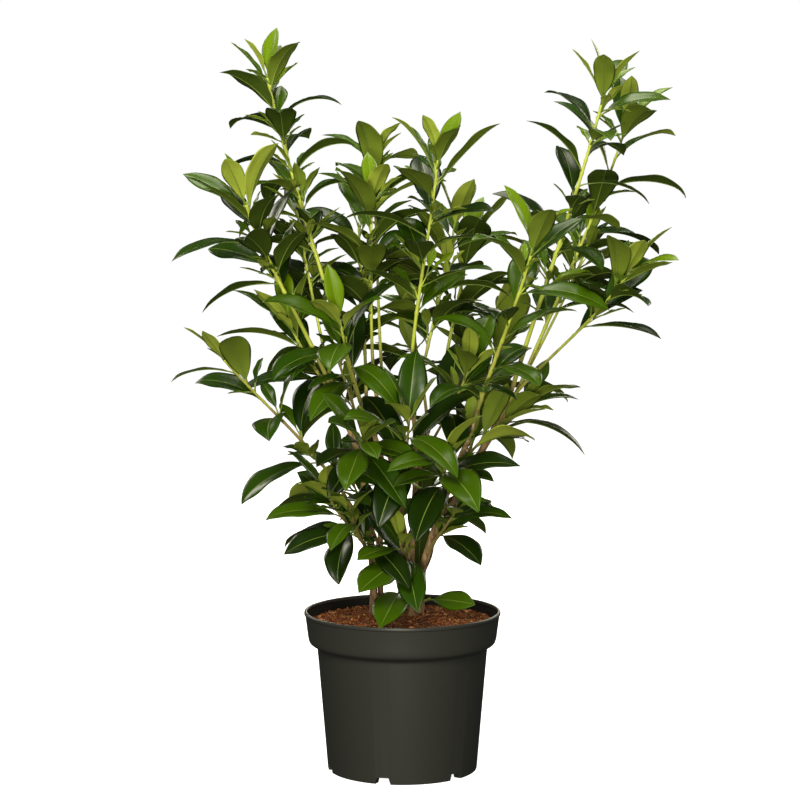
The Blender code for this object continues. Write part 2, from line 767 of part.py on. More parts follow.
def place_limb(name, limb, limbs, space, material):
    """Make a limb's object, cut clear of the limbs that it springs from or passes at its foot."""
    sides, rings = LIMB_FACETS[limb.kind]
    solid = limb_solid(limb, sides, rings)
    item = place_mesh(name, *solid, material)
    met = set(space.met(name, (), *limb_solid(limb, sides, rings, CUT_CLEARANCE)))
    touching = [other for other in limbs if other in met]
    cutters = []
    for other in touching:
        facets = LIMB_FACETS[limbs[other].kind]
        thickened = limb_solid(limbs[other], *facets, CUT_CLEARANCE)
        cutters.append(place_mesh("limb_cutter", *thickened, material))
    if cutters:
        joined(item, cutters, "DIFFERENCE")
        solid = solid_of(item)
    limbs[name] = limb
    space.add(name, "limb", *solid)
    return item


def solid_of(item):
    """The vertices and faces of an object."""
    return [v.co.copy() for v in item.data.vertices], [tuple(p.vertices) for p in item.data.polygons]


def build_limbs(space, wood):
    """All stems and boughs, by name."""
    limbs = {}
    for name, size in STEMS.items():
        foot = Vector((*size["foot"], SOIL_TOP + GAP))
        up = Vector((0, 0, 1))
        limb = Limb("stem", foot, up, size["tip"], size["radii"], up, size["bow"], curl=0.4)
        place_limb(name, limb, limbs, space, wood)
    for name, size in BOUGHS.items():
        limb = grown_from("bough", {"bow": (0, 0, 0), **size}, limbs[size["limb"]])
        place_limb(name, limb, limbs, space, wood)
    return limbs


def build_foliage(space, limbs, leaf_finish):
    """Every leafy shoot as one solid. Their stems come first, so that leaves keep clear of them."""
    shoots = {}
    for name, rule in SHOOTS.items():
        size = {"bow": (0, 0, 0), "radii": SHOOT_RADII, **rule}
        limb = grown_from("shoot", size, limbs[rule["limb"]])
        shoots[name] = place_limb(name, limb, limbs, space, leaf_finish)
    grown = {}
    for name, item in shoots.items():
        grown[name] = grow_leaves(name, limbs[name], SHOOTS[name], space)
        parts = [place_mesh("leaf", *leaf.solid(), leaf_finish) for leaf in grown[name]]
        joined(item, parts, "UNION")
    return grown


def main():
    """Build the pot, the compost, the limbs and the foliage."""
    start_empty()
    pot_finish = finish("pot_plastic", (0.045, 0.046, 0.040), 0.42)
    soil_finish = finish("compost", (0.16, 0.06, 0.025), 0.95)
    wood = finish("bark", (0.36, 0.24, 0.13), 0.75)
    leaf_finish = finish("leaf", (0.075, 0.19, 0.02), 0.35)
    space = Space()
    for item in (build_pot(pot_finish), build_soil(soil_finish)):
        space.add(item.name, "limb", *solid_of(item))
    limbs = build_limbs(space, wood)
    return build_foliage(space, limbs, leaf_finish)


main()
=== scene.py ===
"""Looks of the potted cherry laurel: bark, twigs, glossy leaves, compost and a moulded pot.

Lengths are in metres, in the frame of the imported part: +Z is up, the origin is the middle of
the pot's underside, and the front of the shrub faces -Y. The limbs and leaves grow by the
same rule, from the same sizes and seeds, as the part's own solids.
"""

import itertools
import math
import random

import bpy
import numpy as np
from mathutils import Matrix, Vector, noise
from mathutils.bvhtree import BVHTree


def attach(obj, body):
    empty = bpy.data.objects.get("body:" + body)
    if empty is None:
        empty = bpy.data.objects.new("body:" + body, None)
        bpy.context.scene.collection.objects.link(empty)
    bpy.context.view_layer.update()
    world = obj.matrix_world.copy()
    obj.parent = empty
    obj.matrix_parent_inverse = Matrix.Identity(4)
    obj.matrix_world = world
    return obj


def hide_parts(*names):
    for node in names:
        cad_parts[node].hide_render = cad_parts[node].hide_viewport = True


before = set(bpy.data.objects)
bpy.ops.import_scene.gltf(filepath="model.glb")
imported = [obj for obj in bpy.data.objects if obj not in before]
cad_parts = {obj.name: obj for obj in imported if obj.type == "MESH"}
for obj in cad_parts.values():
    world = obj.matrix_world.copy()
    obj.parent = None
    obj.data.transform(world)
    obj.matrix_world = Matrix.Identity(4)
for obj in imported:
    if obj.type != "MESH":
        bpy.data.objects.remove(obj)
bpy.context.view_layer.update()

# Space between two solids that meet.
GAP = 0.0003

# The pot: a moulded tub with a collar, a rolled lip and a ring of feet.
POT_HEIGHT = 0.228
LIP_RADIUS = 0.140
LIP_OVERHANG = 0.0008
COLLAR_FOOT_RADIUS = 0.134
COLLAR_FOOT = 0.187
BODY_TOP_RADIUS = 0.1215
BODY_TOP = 0.177
BODY_FOOT_RADIUS = 0.1065
POT_WALL = 0.002
POT_FLOOR = 0.014
DRAIN_CHANNEL_HEIGHT = 0.010
FOOT_PAD_RADIUS = 0.045
FOOT_RING_INNER_RADIUS = 0.094
DRAIN_NOTCHES = 6
FIRST_NOTCH_TURN = math.radians(-75)
NOTCH_WIDTH = 0.022
NOTCH_TOP_WIDTH = 0.017
NOTCH_HEIGHT = 0.0095

# The compost, whose surface carries the flat cut feet of the stems.
SOIL_TOP = 0.2135
SOIL_EDGE_DROP = 0.002
SOIL_CLEARANCE = 0.0005

# Woody stems, from the compost to their forks.
ROOT_FLARE = 0.35
ROOT_FLARE_HEIGHT = 0.022
STEMS = {
    "stem_left": dict(foot=(-0.042, 0.045), tip=(-0.055, 0.035, 0.415), bow=(0.002, 0.003, 0),
        radii=(0.0056, 0.0046)),
    "stem_left_back": dict(foot=(-0.031, 0.078), tip=(-0.028, 0.04, 0.432), bow=(-0.002, 0.006, 0),
        radii=(0.0042, 0.0037)),
    "stem_centre": dict(foot=(0.013, 0.03), tip=(-0.005, 0.025, 0.384), bow=(0.003, 0, 0),
        radii=(0.0044, 0.004)),
    "stem_centre_back": dict(foot=(0.014, 0.072), tip=(0.02, 0.066, 0.424), bow=(-0.002, 0.004, 0),
        radii=(0.0042, 0.0037)),
    "stem_right": dict(foot=(0.026, 0.042), tip=(0.065, 0.008, 0.401), bow=(-0.006, 0.004, 0),
        radii=(0.0056, 0.0046)),
    "stem_right_back": dict(foot=(0.029, 0.088), tip=(0.095, 0.062, 0.418), bow=(-0.01, 0.006, 0),
        radii=(0.0046, 0.0042)),
}

# Brown boughs, from a fork to where the green shoots begin.
BOUGHS = {
    "bough_left": dict(limb="stem_left", place=1.0, tip=(-0.099, -0.02, 0.546), bow=(0.003, 0, 0),
        radii=(0.0046, 0.0034)),
    "bough_left_inner": dict(limb="stem_left", place=0.93, tip=(-0.052, 0.06, 0.536),
        radii=(0.0036, 0.0028)),
    "bough_left_tall": dict(limb="stem_left_back", place=1.0, tip=(-0.067, 0.01, 0.549),
        radii=(0.0037, 0.003)),
    "bough_centre": dict(limb="stem_centre", place=1.0, tip=(-0.04, 0.03, 0.55),
        radii=(0.004, 0.0028)),
    "bough_centre_right": dict(limb="stem_centre_back", place=1.0, tip=(0.012, 0.01, 0.565),
        radii=(0.0037, 0.0027)),
    "bough_back_right": dict(limb="stem_centre_back", place=0.86, tip=(0.066, 0.12, 0.591),
        radii=(0.0031, 0.0024)),
    "bough_front_right": dict(limb="stem_right", place=1.0, tip=(0.101, -0.055, 0.509),
        radii=(0.0045, 0.0032)),
    "bough_right": dict(limb="stem_right_back", place=1.0, tip=(0.159, 0.02, 0.553),
        bow=(0.003, 0, 0), radii=(0.0044, 0.0034)),
    "bough_right_back": dict(limb="stem_right_back", place=0.9, tip=(0.17, 0.052, 0.548),
        radii=(0.0036, 0.0028)),
}


def shoot(limb, place, tip, leaves, turn, seed, leaf, **rest):
    """A leafy shoot, by its limb, place there, tip, count of leaves, turn, seed and leaf length."""
    return dict(limb=limb, place=place, tip=tip, leaves=leaves, turn=turn, seed=seed, leaf=leaf,
                **rest)


# Leafy shoots. Each is one mass of leaves, spaced and turned by the growth rule.
SHOOT_FACETS = (4, 7)  # sides and rings of a shoot's plain stem
SHOOT_RADII = (0.0026, 0.0014)
BUD_LENGTH = 4  # in radii of the shoot's tip
SHOOTS = {
    "foliage_tall_left": shoot("bough_left_tall", 1.0, (-0.191, 0.04, 0.982), 19, 260, 28, 0.114,
        radii=(0.0034, 0.0018), lift=36, droop=80),
    "foliage_upper_left": shoot("bough_left", 1.0, (-0.216, -0.08, 0.806), 14, 60, 32, 0.126,
        radii=(0.0034, 0.0018), hand=-1, spacing=0.012, droop=50),
    "foliage_side_left": shoot("stem_left", 0.5, (-0.245, -0.1, 0.594), 9, 310, 83, 0.126,
        bow=(0.008, 0, 0.016), radii=(0.003, 0.0016), spacing=0.044, droop=70),
    "foliage_centre": shoot("bough_centre", 1.0, (-0.044, 0.02, 0.811), 13, 80, 46, 0.132, hand=-1),
    "foliage_centre_left": shoot("bough_left_inner", 1.0, (-0.063, 0.11, 0.77), 12, 200, 57, 0.132,
        hand=-1, spacing=0.02),
    "foliage_centre_back": shoot("bough_centre", 0.5, (-0.042, 0.15, 0.87), 12, 100, 46, 0.114,
        hand=-1, spacing=0.018, lift=36, droop=70),
    "foliage_centre_right": shoot("bough_centre_right", 1.0, (0.049, -0.05, 0.867), 15, 200, 87,
        0.126, radii=(0.0028, 0.0015), hand=-1, spacing=0.018, lift=48, droop=40),
    "foliage_back_right": shoot("bough_back_right", 1.0, (0.1, 0.19, 0.752), 11, 240, 86, 0.132,
        hand=-1, spacing=0.018),
    "foliage_mid_right": shoot("bough_centre_right", 0.55, (0.076, 0.08, 0.778), 12, 200, 96, 0.126,
        hand=-1, spacing=0.02),
    "foliage_front_right": shoot("bough_front_right", 1.0, (0.177, -0.15, 0.754), 14, 0, 88, 0.126,
        radii=(0.0032, 0.0017), spacing=0.024),
    "foliage_tall_right": shoot("bough_right", 1.0, (0.282, -0.03, 0.968), 18, 180, 98, 0.114,
        radii=(0.0034, 0.0018), spacing=0.02),
    "foliage_tall_right_back": shoot("bough_right_back", 1.0, (0.324, 0.12, 0.916), 16, 230, 11,
        0.132, radii=(0.003, 0.0016), spacing=0.024),
    "foliage_side_right": shoot("bough_right", 0.75, (0.31, -0.1, 0.715), 10, 310, 5, 0.126,
        spacing=0.018, lift=36, droop=40),
    "foliage_front_centre": shoot("stem_centre", 0.82, (0.009, -0.12, 0.516), 9, 140, 96, 0.132,
        hand=-1, spacing=0.018),
    "foliage_front_mid": shoot("stem_centre_back", 0.95, (0.09, -0.03, 0.568), 10, 140, 16, 0.132,
        hand=-1, spacing=0.014),
    "foliage_low_left": shoot("stem_left", 0.42, (-0.102, -0.03, 0.392), 8, 30, 11, 0.126, hand=-1,
        spacing=0.018),
    "foliage_low_front_left": shoot("stem_left", 0.34, (-0.072, -0.1, 0.385), 8, 210, 82, 0.114,
        spacing=0.024, lift=48, droop=70),
    "foliage_low_right": shoot("stem_right", 0.48, (0.074, -0.04, 0.378), 9, 320, 14, 0.12,
        spacing=0.02),
    "foliage_mid_side_right": shoot("bough_front_right", 0.3, (0.118, 0, 0.48), 8, 120, 36, 0.132,
        hand=-1, spacing=0.014),
    "foliage_low_front": shoot("stem_centre", 0.4, (-0.003, -0.06, 0.334), 7, 120, 43, 0.126,
        hand=-1, spacing=0.028, droop=40),
    "foliage_foot_front": shoot("stem_centre", 0.4, (-0.004, -0.03, 0.3), 1, 300, 1, 0.25,
        roll=-20),
    "foliage_foot_low": shoot("stem_centre", 0.2, (-0.004, -0.01, 0.255), 1, 330, 59, 0.21,
        roll=-20),
    "foliage_foot_right": shoot("stem_right", 0.1, (0.036, 0.03, 0.238), 1, 270, 73, 0.15, roll=60),
    "foliage_mid_front_left": shoot("bough_left", 0.2, (-0.055, -0.14, 0.488), 10, 70, 21, 0.126,
        hand=-1, spacing=0.014, lift=36, droop=40),
    "foliage_mid_front_right": shoot("stem_right", 0.8, (0.058, -0.12, 0.458), 9, 120, 10, 0.132,
        hand=-1, spacing=0.014, lift=36, droop=70),
    "foliage_front_left": shoot("bough_left_tall", 0.8, (-0.085, -0.08, 0.64), 10, 90, 84, 0.132,
        droop=70),
    "foliage_outer_left": shoot("bough_left", 0.8, (-0.158, -0.02, 0.637), 9, 50, 97, 0.132,
        hand=-1, spacing=0.018),
    "foliage_back_left": shoot("stem_left_back", 0.75, (-0.125, 0.2, 0.674), 13, 290, 1, 0.132,
        spacing=0.02),
    "foliage_back_centre": shoot("bough_back_right", 0.4, (0.01, 0.22, 0.66), 12, 90, 38, 0.132),
    "foliage_back_right_low": shoot("stem_right_back", 0.8, (0.146, 0.2, 0.614), 12, 120, 58, 0.132,
        spacing=0.022),
    "foliage_low_back_left": shoot("stem_left_back", 0.4, (-0.078, 0.2, 0.4), 9, 310, 10, 0.132,
        spacing=0.018),
    "foliage_low_back_right": shoot("stem_centre_back", 0.45, (0.042, 0.21, 0.38), 9, 340, 19,
        0.132, hand=-1, spacing=0.018),
    "foliage_low_side_right": shoot("bough_right", 0.35, (0.183, 0.07, 0.52), 7, 320, 95, 0.12,
        hand=-1, spacing=0.014),
    "foliage_inner_left": shoot("bough_left", 0.9, (-0.15, 0.06, 0.79), 9, 20, 12, 0.126, hand=-1,
        spacing=0.018),
    "foliage_inner_right": shoot("bough_right_back", 0.6, (0.27, 0.1, 0.75), 9, 310, 32, 0.12,
        hand=-1, spacing=0.014),
}

# The growth rule. A shoot's own spacing, lift, droop and roll (in degrees) stand in for these.
LEAF_TURN = math.radians(137.5)
TURN_SCATTER = math.radians(14)
FIRST_LEAF_DROP = 0.001
LEAF_SPACING = 0.016
TIGHT_SPACING = 0.25
LEAVES_TO_FULL_SPACING = 4
TIP_LIFT = math.radians(15)
SIDE_LIFT = 42
LEAVES_TO_SIDE_LIFT = 6
LIFT_SCATTER = math.radians(9)
SKYWARD = 0.55
ROLL_SCATTER = math.radians(16)
TIP_DROOP = math.radians(24)
SIDE_DROOP = 60
DROOP_SCATTER = math.radians(20)
DROOP_CURVE = 0.9
TRIES = 7
TRY_TURN = math.radians(17)
TRY_SHRINK = 0.95

# One leaf: a stalk, then a folded blade.
LEAF_LENGTH = 0.122
YOUNG_LEAF = 0.62
LEAVES_TO_FULL_SIZE = 4
SIZE_SCATTER = 0.09
STALK = 0.012
STALK_HALF_WIDTH = 0.0011
BLADE_HALF_WIDTH = 0.180
BLADE_THICKNESS = 0.0110
FOLD = 0.22
BLADE_STATIONS = ((0.32, 0.84), (0.72, 0.95))
LEAF_CLEARANCE = 0.0006
MIDRIB_STEPS = 12
LEAST_SHARE = 0.06


def collar_radius(height):
    """Outer radius of the collar at a height."""
    along = (height - COLLAR_FOOT) / (POT_HEIGHT - COLLAR_FOOT)
    return COLLAR_FOOT_RADIUS + along * (LIP_RADIUS - LIP_OVERHANG - COLLAR_FOOT_RADIUS)


def pot_inside():
    """Inner profile of the pot, from its floor to just under the lip."""
    return [
        (BODY_FOOT_RADIUS - 2 * POT_WALL, POT_FLOOR),
        (BODY_FOOT_RADIUS - POT_WALL, POT_FLOOR + POT_WALL),
        (BODY_TOP_RADIUS - POT_WALL, BODY_TOP),
        (BODY_TOP_RADIUS + 0.0015, BODY_TOP + 0.0045),
        (COLLAR_FOOT_RADIUS - 1.15 * POT_WALL, COLLAR_FOOT + POT_WALL),
        (collar_radius(POT_HEIGHT - 0.005) - POT_WALL, POT_HEIGHT - 0.005),
    ]


class Limb:
    """A tapering limb on a smooth curve from foot to tip."""

    def __init__(self, foot, start, tip, radii, foot_facing=None, bow=(0, 0, 0), curl=0.25):
        self.radii = radii
        self.foot_facing = foot_facing or start.normalized()
        chord = Vector(tip) - Vector(foot)
        self.start = start.normalized()
        self.end = (chord.normalized() + Vector((0, 0, curl))).normalized()
        third = chord.length / 3
        bend = Vector(bow) * 4 / 3
        self.handles = (
            Vector(foot),
            Vector(foot) + self.start * third + bend,
            Vector(tip) - self.end * third + bend,
            Vector(tip),
        )
        self.length = sum((self.point((i + 1) / 16) - self.point(i / 16)).length for i in range(16))

    def point(self, along):
        """The place a share of the way along."""
        a, b, c, d = self.handles
        rest = 1 - along
        return a * rest**3 + b * 3 * rest**2 * along + c * 3 * rest * along**2 + d * along**3

    def heading(self, along):
        """The direction of growth there."""
        a, b, c, d = self.handles
        rest = 1 - along
        return ((b - a) * rest**2 + (c - b) * 2 * rest * along + (d - c) * along**2).normalized()

    def radius(self, along):
        """The radius there."""
        return self.radii[0] + (self.radii[1] - self.radii[0]) * along


def square_to(heading):
    """Two directions at right angles to a heading, the first as near +X as can be."""
    side = Vector((1, 0, 0)) - heading * heading.x
    if side.length < 0.2:
        side = Vector((0, 1, 0)) - heading * heading.y
    side.normalize()
    return side, heading.cross(side)


def shoot_solid(limb):
    """Vertices and faces of a shoot's plain closed tube, which ends in a bud."""
    sides, rings = SHOOT_FACETS
    turns = [2 * math.pi * i / sides for i in range(sides)]
    vertices, faces = [], []
    for row in range(rings):
        along = row / (rings - 1)
        heading = limb.heading(along) if row else limb.foot_facing
        side, other = square_to(heading)
        ways = [side * math.cos(turn) + other * math.sin(turn) for turn in turns]
        vertices += [limb.point(along) + way * limb.radius(along) for way in ways]
    vertices += [limb.point(0), limb.point(1) + limb.end * limb.radius(1) * BUD_LENGTH]
    foot, tip = len(vertices) - 2, len(vertices) - 1
    last = (rings - 1) * sides
    for side in range(sides):
        after = (side + 1) % sides
        faces += [(foot, after, side), (last + side, last + after, tip)]
        for row in range(0, last, sides):
            faces.append((row + side, row + after, row + sides + after, row + sides + side))
    return vertices, faces


class Space:
    """What has been placed so far, to keep leaves and twigs clear of it."""

    def __init__(self):
        self.items = []

    def add(self, owner, kind, vertices, faces):
        """Remember a closed piece."""
        self.items.append((owner, kind, bounds_of(vertices), BVHTree.FromPolygons(vertices, faces)))

    def free(self, owner, kinds_of_own, vertices, faces):
        """Whether a piece meets nothing, of its own owner's only the kinds given."""
        low, high = bounds_of(vertices)
        tree = BVHTree.FromPolygons(vertices, faces)
        for other, kind, (other_low, other_high), other_tree in self.items:
            if other == owner and kind not in kinds_of_own:
                continue
            if any(low[i] > other_high[i] or high[i] < other_low[i] for i in range(3)):
                continue
            if tree.overlap(other_tree):
                return False
        return True


def bounds_of(vertices):
    """Lowest and highest corner of some points."""
    return (
        [min(v[i] for v in vertices) for i in range(3)],
        [max(v[i] for v in vertices) for i in range(3)],
    )


class Leaf:
    """One leaf, by its root, first direction, upper side, length and droop."""

    def __init__(self, root, direction, upward, length, droop):
        self.root = root
        self.direction = direction
        self.upward = upward
        self.length = length
        self.droop = droop

    def midrib(self, along):
        """Place, upper side and side on the midrib, a share of the way along the leaf."""
        steps = max(1, round(along * MIDRIB_STEPS))
        side = self.upward.cross(self.direction).normalized()
        place = self.root.copy()
        step = self.length * along / steps
        for number in range(steps):
            bent = self.bent_by(along * (number + 0.5) / steps)
            place += (Matrix.Rotation(bent, 3, side) @ self.direction) * step
        return place, Matrix.Rotation(self.bent_by(along), 3, side) @ self.upward, side

    def bent_by(self, along):
        """How far the leaf has drooped at a share of its length."""
        return self.droop * along**DROOP_CURVE

    def section(self, along, half_width, half_thickness, fold):
        """Points round the blade: its two edges, its crease above and its keel below."""
        place, upward, side = self.midrib(along)
        lift = upward * half_width * fold
        return [
            place + side * half_width + lift,
            place + upward * half_thickness,
            place - side * half_width + lift,
            place - upward * half_thickness,
        ]

    def stalk_section(self, along, half_width):
        """Three points round the stalk."""
        place, upward, side = self.midrib(along)
        top = place + upward * half_width * 0.6
        return [top + side * half_width, top - side * half_width, place - upward * half_width]

    def solid(self, grown=0.0, whole=True):
        """Vertices and faces of the leaf, or of all but its root, thickened by grown."""
        stalk = STALK / self.length
        thick = self.length * BLADE_THICKNESS / 2 + grown
        wide = (self.length - STALK) * BLADE_HALF_WIDTH
        rows = [self.stalk_section(stalk, STALK_HALF_WIDTH + grown)]
        if whole:
            rows.insert(0, self.stalk_section(0, STALK_HALF_WIDTH * 0.6))
        for share, width in BLADE_STATIONS:
            along = stalk + (1 - stalk) * share
            rows.append(self.section(along, wide * width + grown, thick, FOLD))
        tip = self.midrib(1)[0]
        if grown:
            tip = tip + (tip - self.midrib(0.95)[0]).normalized() * grown * 2
        vertices = [v for row in rows for v in row] + [tip]
        faces = [(2, 1, 0)]
        base = 3 * (len(rows) - len(BLADE_STATIONS))
        if whole:
            faces += [(0, 1, 4, 3), (1, 2, 5, 4), (2, 0, 3, 5)]
        right, left, under = base - 3, base - 2, base - 1
        faces += [
            (right, left, base + 1),
            (right, base + 1, base),
            (left, base + 2, base + 1),
            (left, under, base + 3, base + 2),
            (under, right, base, base + 3),
        ]
        for row in range(base, base + 4 * (len(BLADE_STATIONS) - 1), 4):
            for edge in range(4):
                after = (edge + 1) % 4
                faces.append((row + edge, row + after, row + 4 + after, row + 4 + edge))
        last = len(vertices) - 5
        faces += [(last + edge, last + (edge + 1) % 4, len(vertices) - 1) for edge in range(4)]
        return vertices, faces


def blend(low, high, share):
    """From low to high as share goes from nought to one."""
    return low + (high - low) * min(1, share)


def leaf_on(stem, along, turn, lift, roll, length, droop):
    """A leaf that leaves a stem at a turn round it and an angle from it."""
    heading = stem.heading(along)
    side, other = square_to(heading)
    outward = side * math.cos(turn) + other * math.sin(turn)
    direction = (heading * math.cos(lift) + outward * math.sin(lift)).normalized()
    upward = heading * (1 - SKYWARD) + Vector((0, 0, SKYWARD))
    upward = (upward - direction * upward.dot(direction)).normalized()
    upward = Matrix.Rotation(roll, 3, direction) @ upward
    return Leaf(stem.point(along), direction, upward, length, droop)


def grow_leaves(name, stem, rule, space):
    """Leaves down a stem from its tip, each tried until it is clear of everything."""
    rng = random.Random(rule["seed"])
    leaves = []
    drop = FIRST_LEAF_DROP
    for number in range(rule["leaves"]):
        turn = math.radians(rule["turn"]) + rule.get("hand", 1) * number * LEAF_TURN
        turn += rng.uniform(-TURN_SCATTER, TURN_SCATTER)
        low_share = number / LEAVES_TO_SIDE_LIFT
        lift = blend(TIP_LIFT, math.radians(rule.get("lift", SIDE_LIFT)), low_share)
        lift += rng.uniform(-LIFT_SCATTER, LIFT_SCATTER)
        droop = blend(TIP_DROOP, math.radians(rule.get("droop", SIDE_DROOP)), low_share)
        droop += rng.uniform(-DROOP_SCATTER, DROOP_SCATTER)
        roll = math.radians(rule.get("roll", 0)) + rng.uniform(-ROLL_SCATTER, ROLL_SCATTER)
        length = rule.get("leaf", LEAF_LENGTH) * blend(YOUNG_LEAF, 1, number / LEAVES_TO_FULL_SIZE)
        length *= 1 + rng.uniform(-SIZE_SCATTER, SIZE_SCATTER)
        along = 1 - drop / stem.length
        spacing = rule.get("spacing", LEAF_SPACING)
        drop += spacing * blend(TIGHT_SPACING, 1, number / LEAVES_TO_FULL_SPACING)
        if along < LEAST_SHARE:
            break
        for attempt in range(TRIES):
            swing = TRY_TURN * ((attempt + 1) // 2) * (-1) ** attempt
            size = length * TRY_SHRINK**attempt
            leaf = leaf_on(stem, along, turn + swing, lift, roll, size, droop)
            blade = leaf.solid(LEAF_CLEARANCE, whole=False)
            whole = leaf.solid(LEAF_CLEARANCE)
            if space.free(name, ("blade",), *blade) and space.free(name, (), *whole):
                space.add(name, "blade", *blade)
                space.add(name, "leaf", *leaf.solid())
                leaves.append(leaf)
                break
    return leaves


def grown_from(size, parent):
    """A limb that springs from another limb's tip or from inside its side."""
    place = size["place"]
    heading = parent.heading(place)
    chord = (Vector(size["tip"]) - parent.point(place)).normalized()
    if place == 1:
        foot = parent.point(1) + heading * GAP
        return Limb(foot, heading * 0.8 + chord, size["tip"], size["radii"], heading, size["bow"])
    start = chord + heading * 0.25
    return Limb(parent.point(place), start, size["tip"], size["radii"], None, size["bow"])


def solid_of(item):
    """The vertices and faces of an object."""
    mesh = item.data
    return [v.co.copy() for v in mesh.vertices], [tuple(p.vertices) for p in mesh.polygons]


def grow_limbs(space):
    """Stems, boughs and shoots by name, which also go into the space, as does the pot."""
    limbs = {}
    up = Vector((0, 0, 1))
    for name in ("pot", "soil", *STEMS, *BOUGHS):
        space.add(name, "limb", *solid_of(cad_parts[name]))
    for name, size in STEMS.items():
        foot = Vector((*size["foot"], SOIL_TOP + GAP))
        limbs[name] = Limb(foot, up, size["tip"], size["radii"], up, size["bow"], curl=0.4)
    for name, size in BOUGHS.items():
        limbs[name] = grown_from({"bow": (0, 0, 0), **size}, limbs[size["limb"]])
    for name, rule in SHOOTS.items():
        limb = grown_from({"bow": (0, 0, 0), "radii": SHOOT_RADII, **rule}, limbs[rule["limb"]])
        limbs[name] = limb
        space.add(name, "limb", *shoot_solid(limb))
    return limbs


# Looks of a leaf: its outline, cross-section and relief.
BLADE_ROWS = 26
ROW_CROWDING = 0.35
BLADE_COLUMNS = (-1.0, -0.8, -0.55, -0.28, -0.021, 0.021, 0.28, 0.55, 0.8, 1.0)
BLADE_SKIN = 0.00028
OUTLINE_BASE = (0.85, 1.25)
OUTLINE_TIP = (0.82, 1.08)
OUTLINE_WIDTH = 1.06
POINT_START = 0.86
POINT_DRAW = 0.30
FOLD_AT_RIB = 0.46
MARGIN_ROLL = 0.24
VEIN_PAIRS = 8
VEIN_SWEEP = 0.17
VEIN_RELIEF = 0.00032
MARGIN_WAVE = 0.0013
WAVES_PER_BLADE = 2.3
OUTLINE_WOBBLE = 0.035
WOBBLE_RATE = 11
LEAF_TWIST = math.radians(22)
HOOK_START = 0.74
HOOK = math.radians(46)
HOOKED_LEAF = 0.13
RIB_SIDES = 6
RIB_ROWS = 15
RIB_END = 0.94
RIB_RADII = (0.00150, 0.00115, 0.00028)
RIB_TAPER = 0.7
RIB_SUNK = 0.75
RIB_SINKING = 20
PATH_STEPS = 72


class Pile:
    """Points and faces gathered for one joined mesh, each face with the number of its finish."""

    def __init__(self):
        self.points = []
        self.corners = []
        self.sizes = []
        self.slots = []
        self.count = 0

    def add(self, points, *groups):
        """Add points, and groups of (faces as an array, finish numbers)."""
        self.points.append(np.asarray(points, float))
        for faces, slots in groups:
            faces = np.asarray(faces)
            self.corners.append((faces + self.count).reshape(-1))
            self.sizes.append(np.full(len(faces), faces.shape[1]))
            self.slots.append(np.broadcast_to(slots, len(faces)))
        self.count += len(points)

    def triangles(self):
        """How many triangles the piece has so far."""
        return int(sum((sizes - 2).sum() for sizes in self.sizes))

    def piece(self, name, finishes, sharp=None):
        """The joined mesh as an object."""
        mesh = bpy.data.meshes.new(name)
        points = np.concatenate(self.points)
        corners = np.concatenate(self.corners)
        sizes = np.concatenate(self.sizes)
        mesh.vertices.add(len(points))
        mesh.vertices.foreach_set("co", points.astype(np.float32).reshape(-1))
        mesh.loops.add(len(corners))
        mesh.loops.foreach_set("vertex_index", corners.astype(np.int32))
        mesh.polygons.add(len(sizes))
        mesh.polygons.foreach_set("loop_start", (np.cumsum(sizes) - sizes).astype(np.int32))
        mesh.polygons.foreach_set("material_index", np.concatenate(self.slots).astype(np.int32))
        mesh.update(calc_edges=True)
        mesh.validate()
        mesh.shade_smooth()
        if sharp is not None:
            mesh.set_sharp_from_angle(angle=sharp)
        for finish in finishes:
            mesh.materials.append(finish)
        item = bpy.data.objects.new(name, mesh)
        bpy.context.scene.collection.objects.link(item)
        return item


def strip_faces(rows, columns, closed):
    """Quads between rows of points, round in a ring where closed."""
    last = columns if closed else columns - 1
    faces = []
    for row in range(rows - 1):
        for column in range(last):
            after = (column + 1) % columns
            low, high = row * columns, (row + 1) * columns
            faces.append((low + column, low + after, high + after, high + column))
    return np.array(faces)


def swept(places, across, upward, radii):
    """Points of rings along a path, each ring given by its centre, two directions and radii."""
    turns = (np.arange(radii.shape[1]) * 2 * np.pi / radii.shape[1])[None, :, None]
    ways = across[:, None] * np.cos(turns) + upward[:, None] * np.sin(turns)
    return (places[:, None] + ways * radii[:, :, None]).reshape(-1, 3)


def capped(rows, sides):
    """Faces of a tube with a flat cap at each end."""
    caps = np.array([range(sides - 1, -1, -1), range((rows - 1) * sides, rows * sides)])
    return strip_faces(rows, sides, True), caps


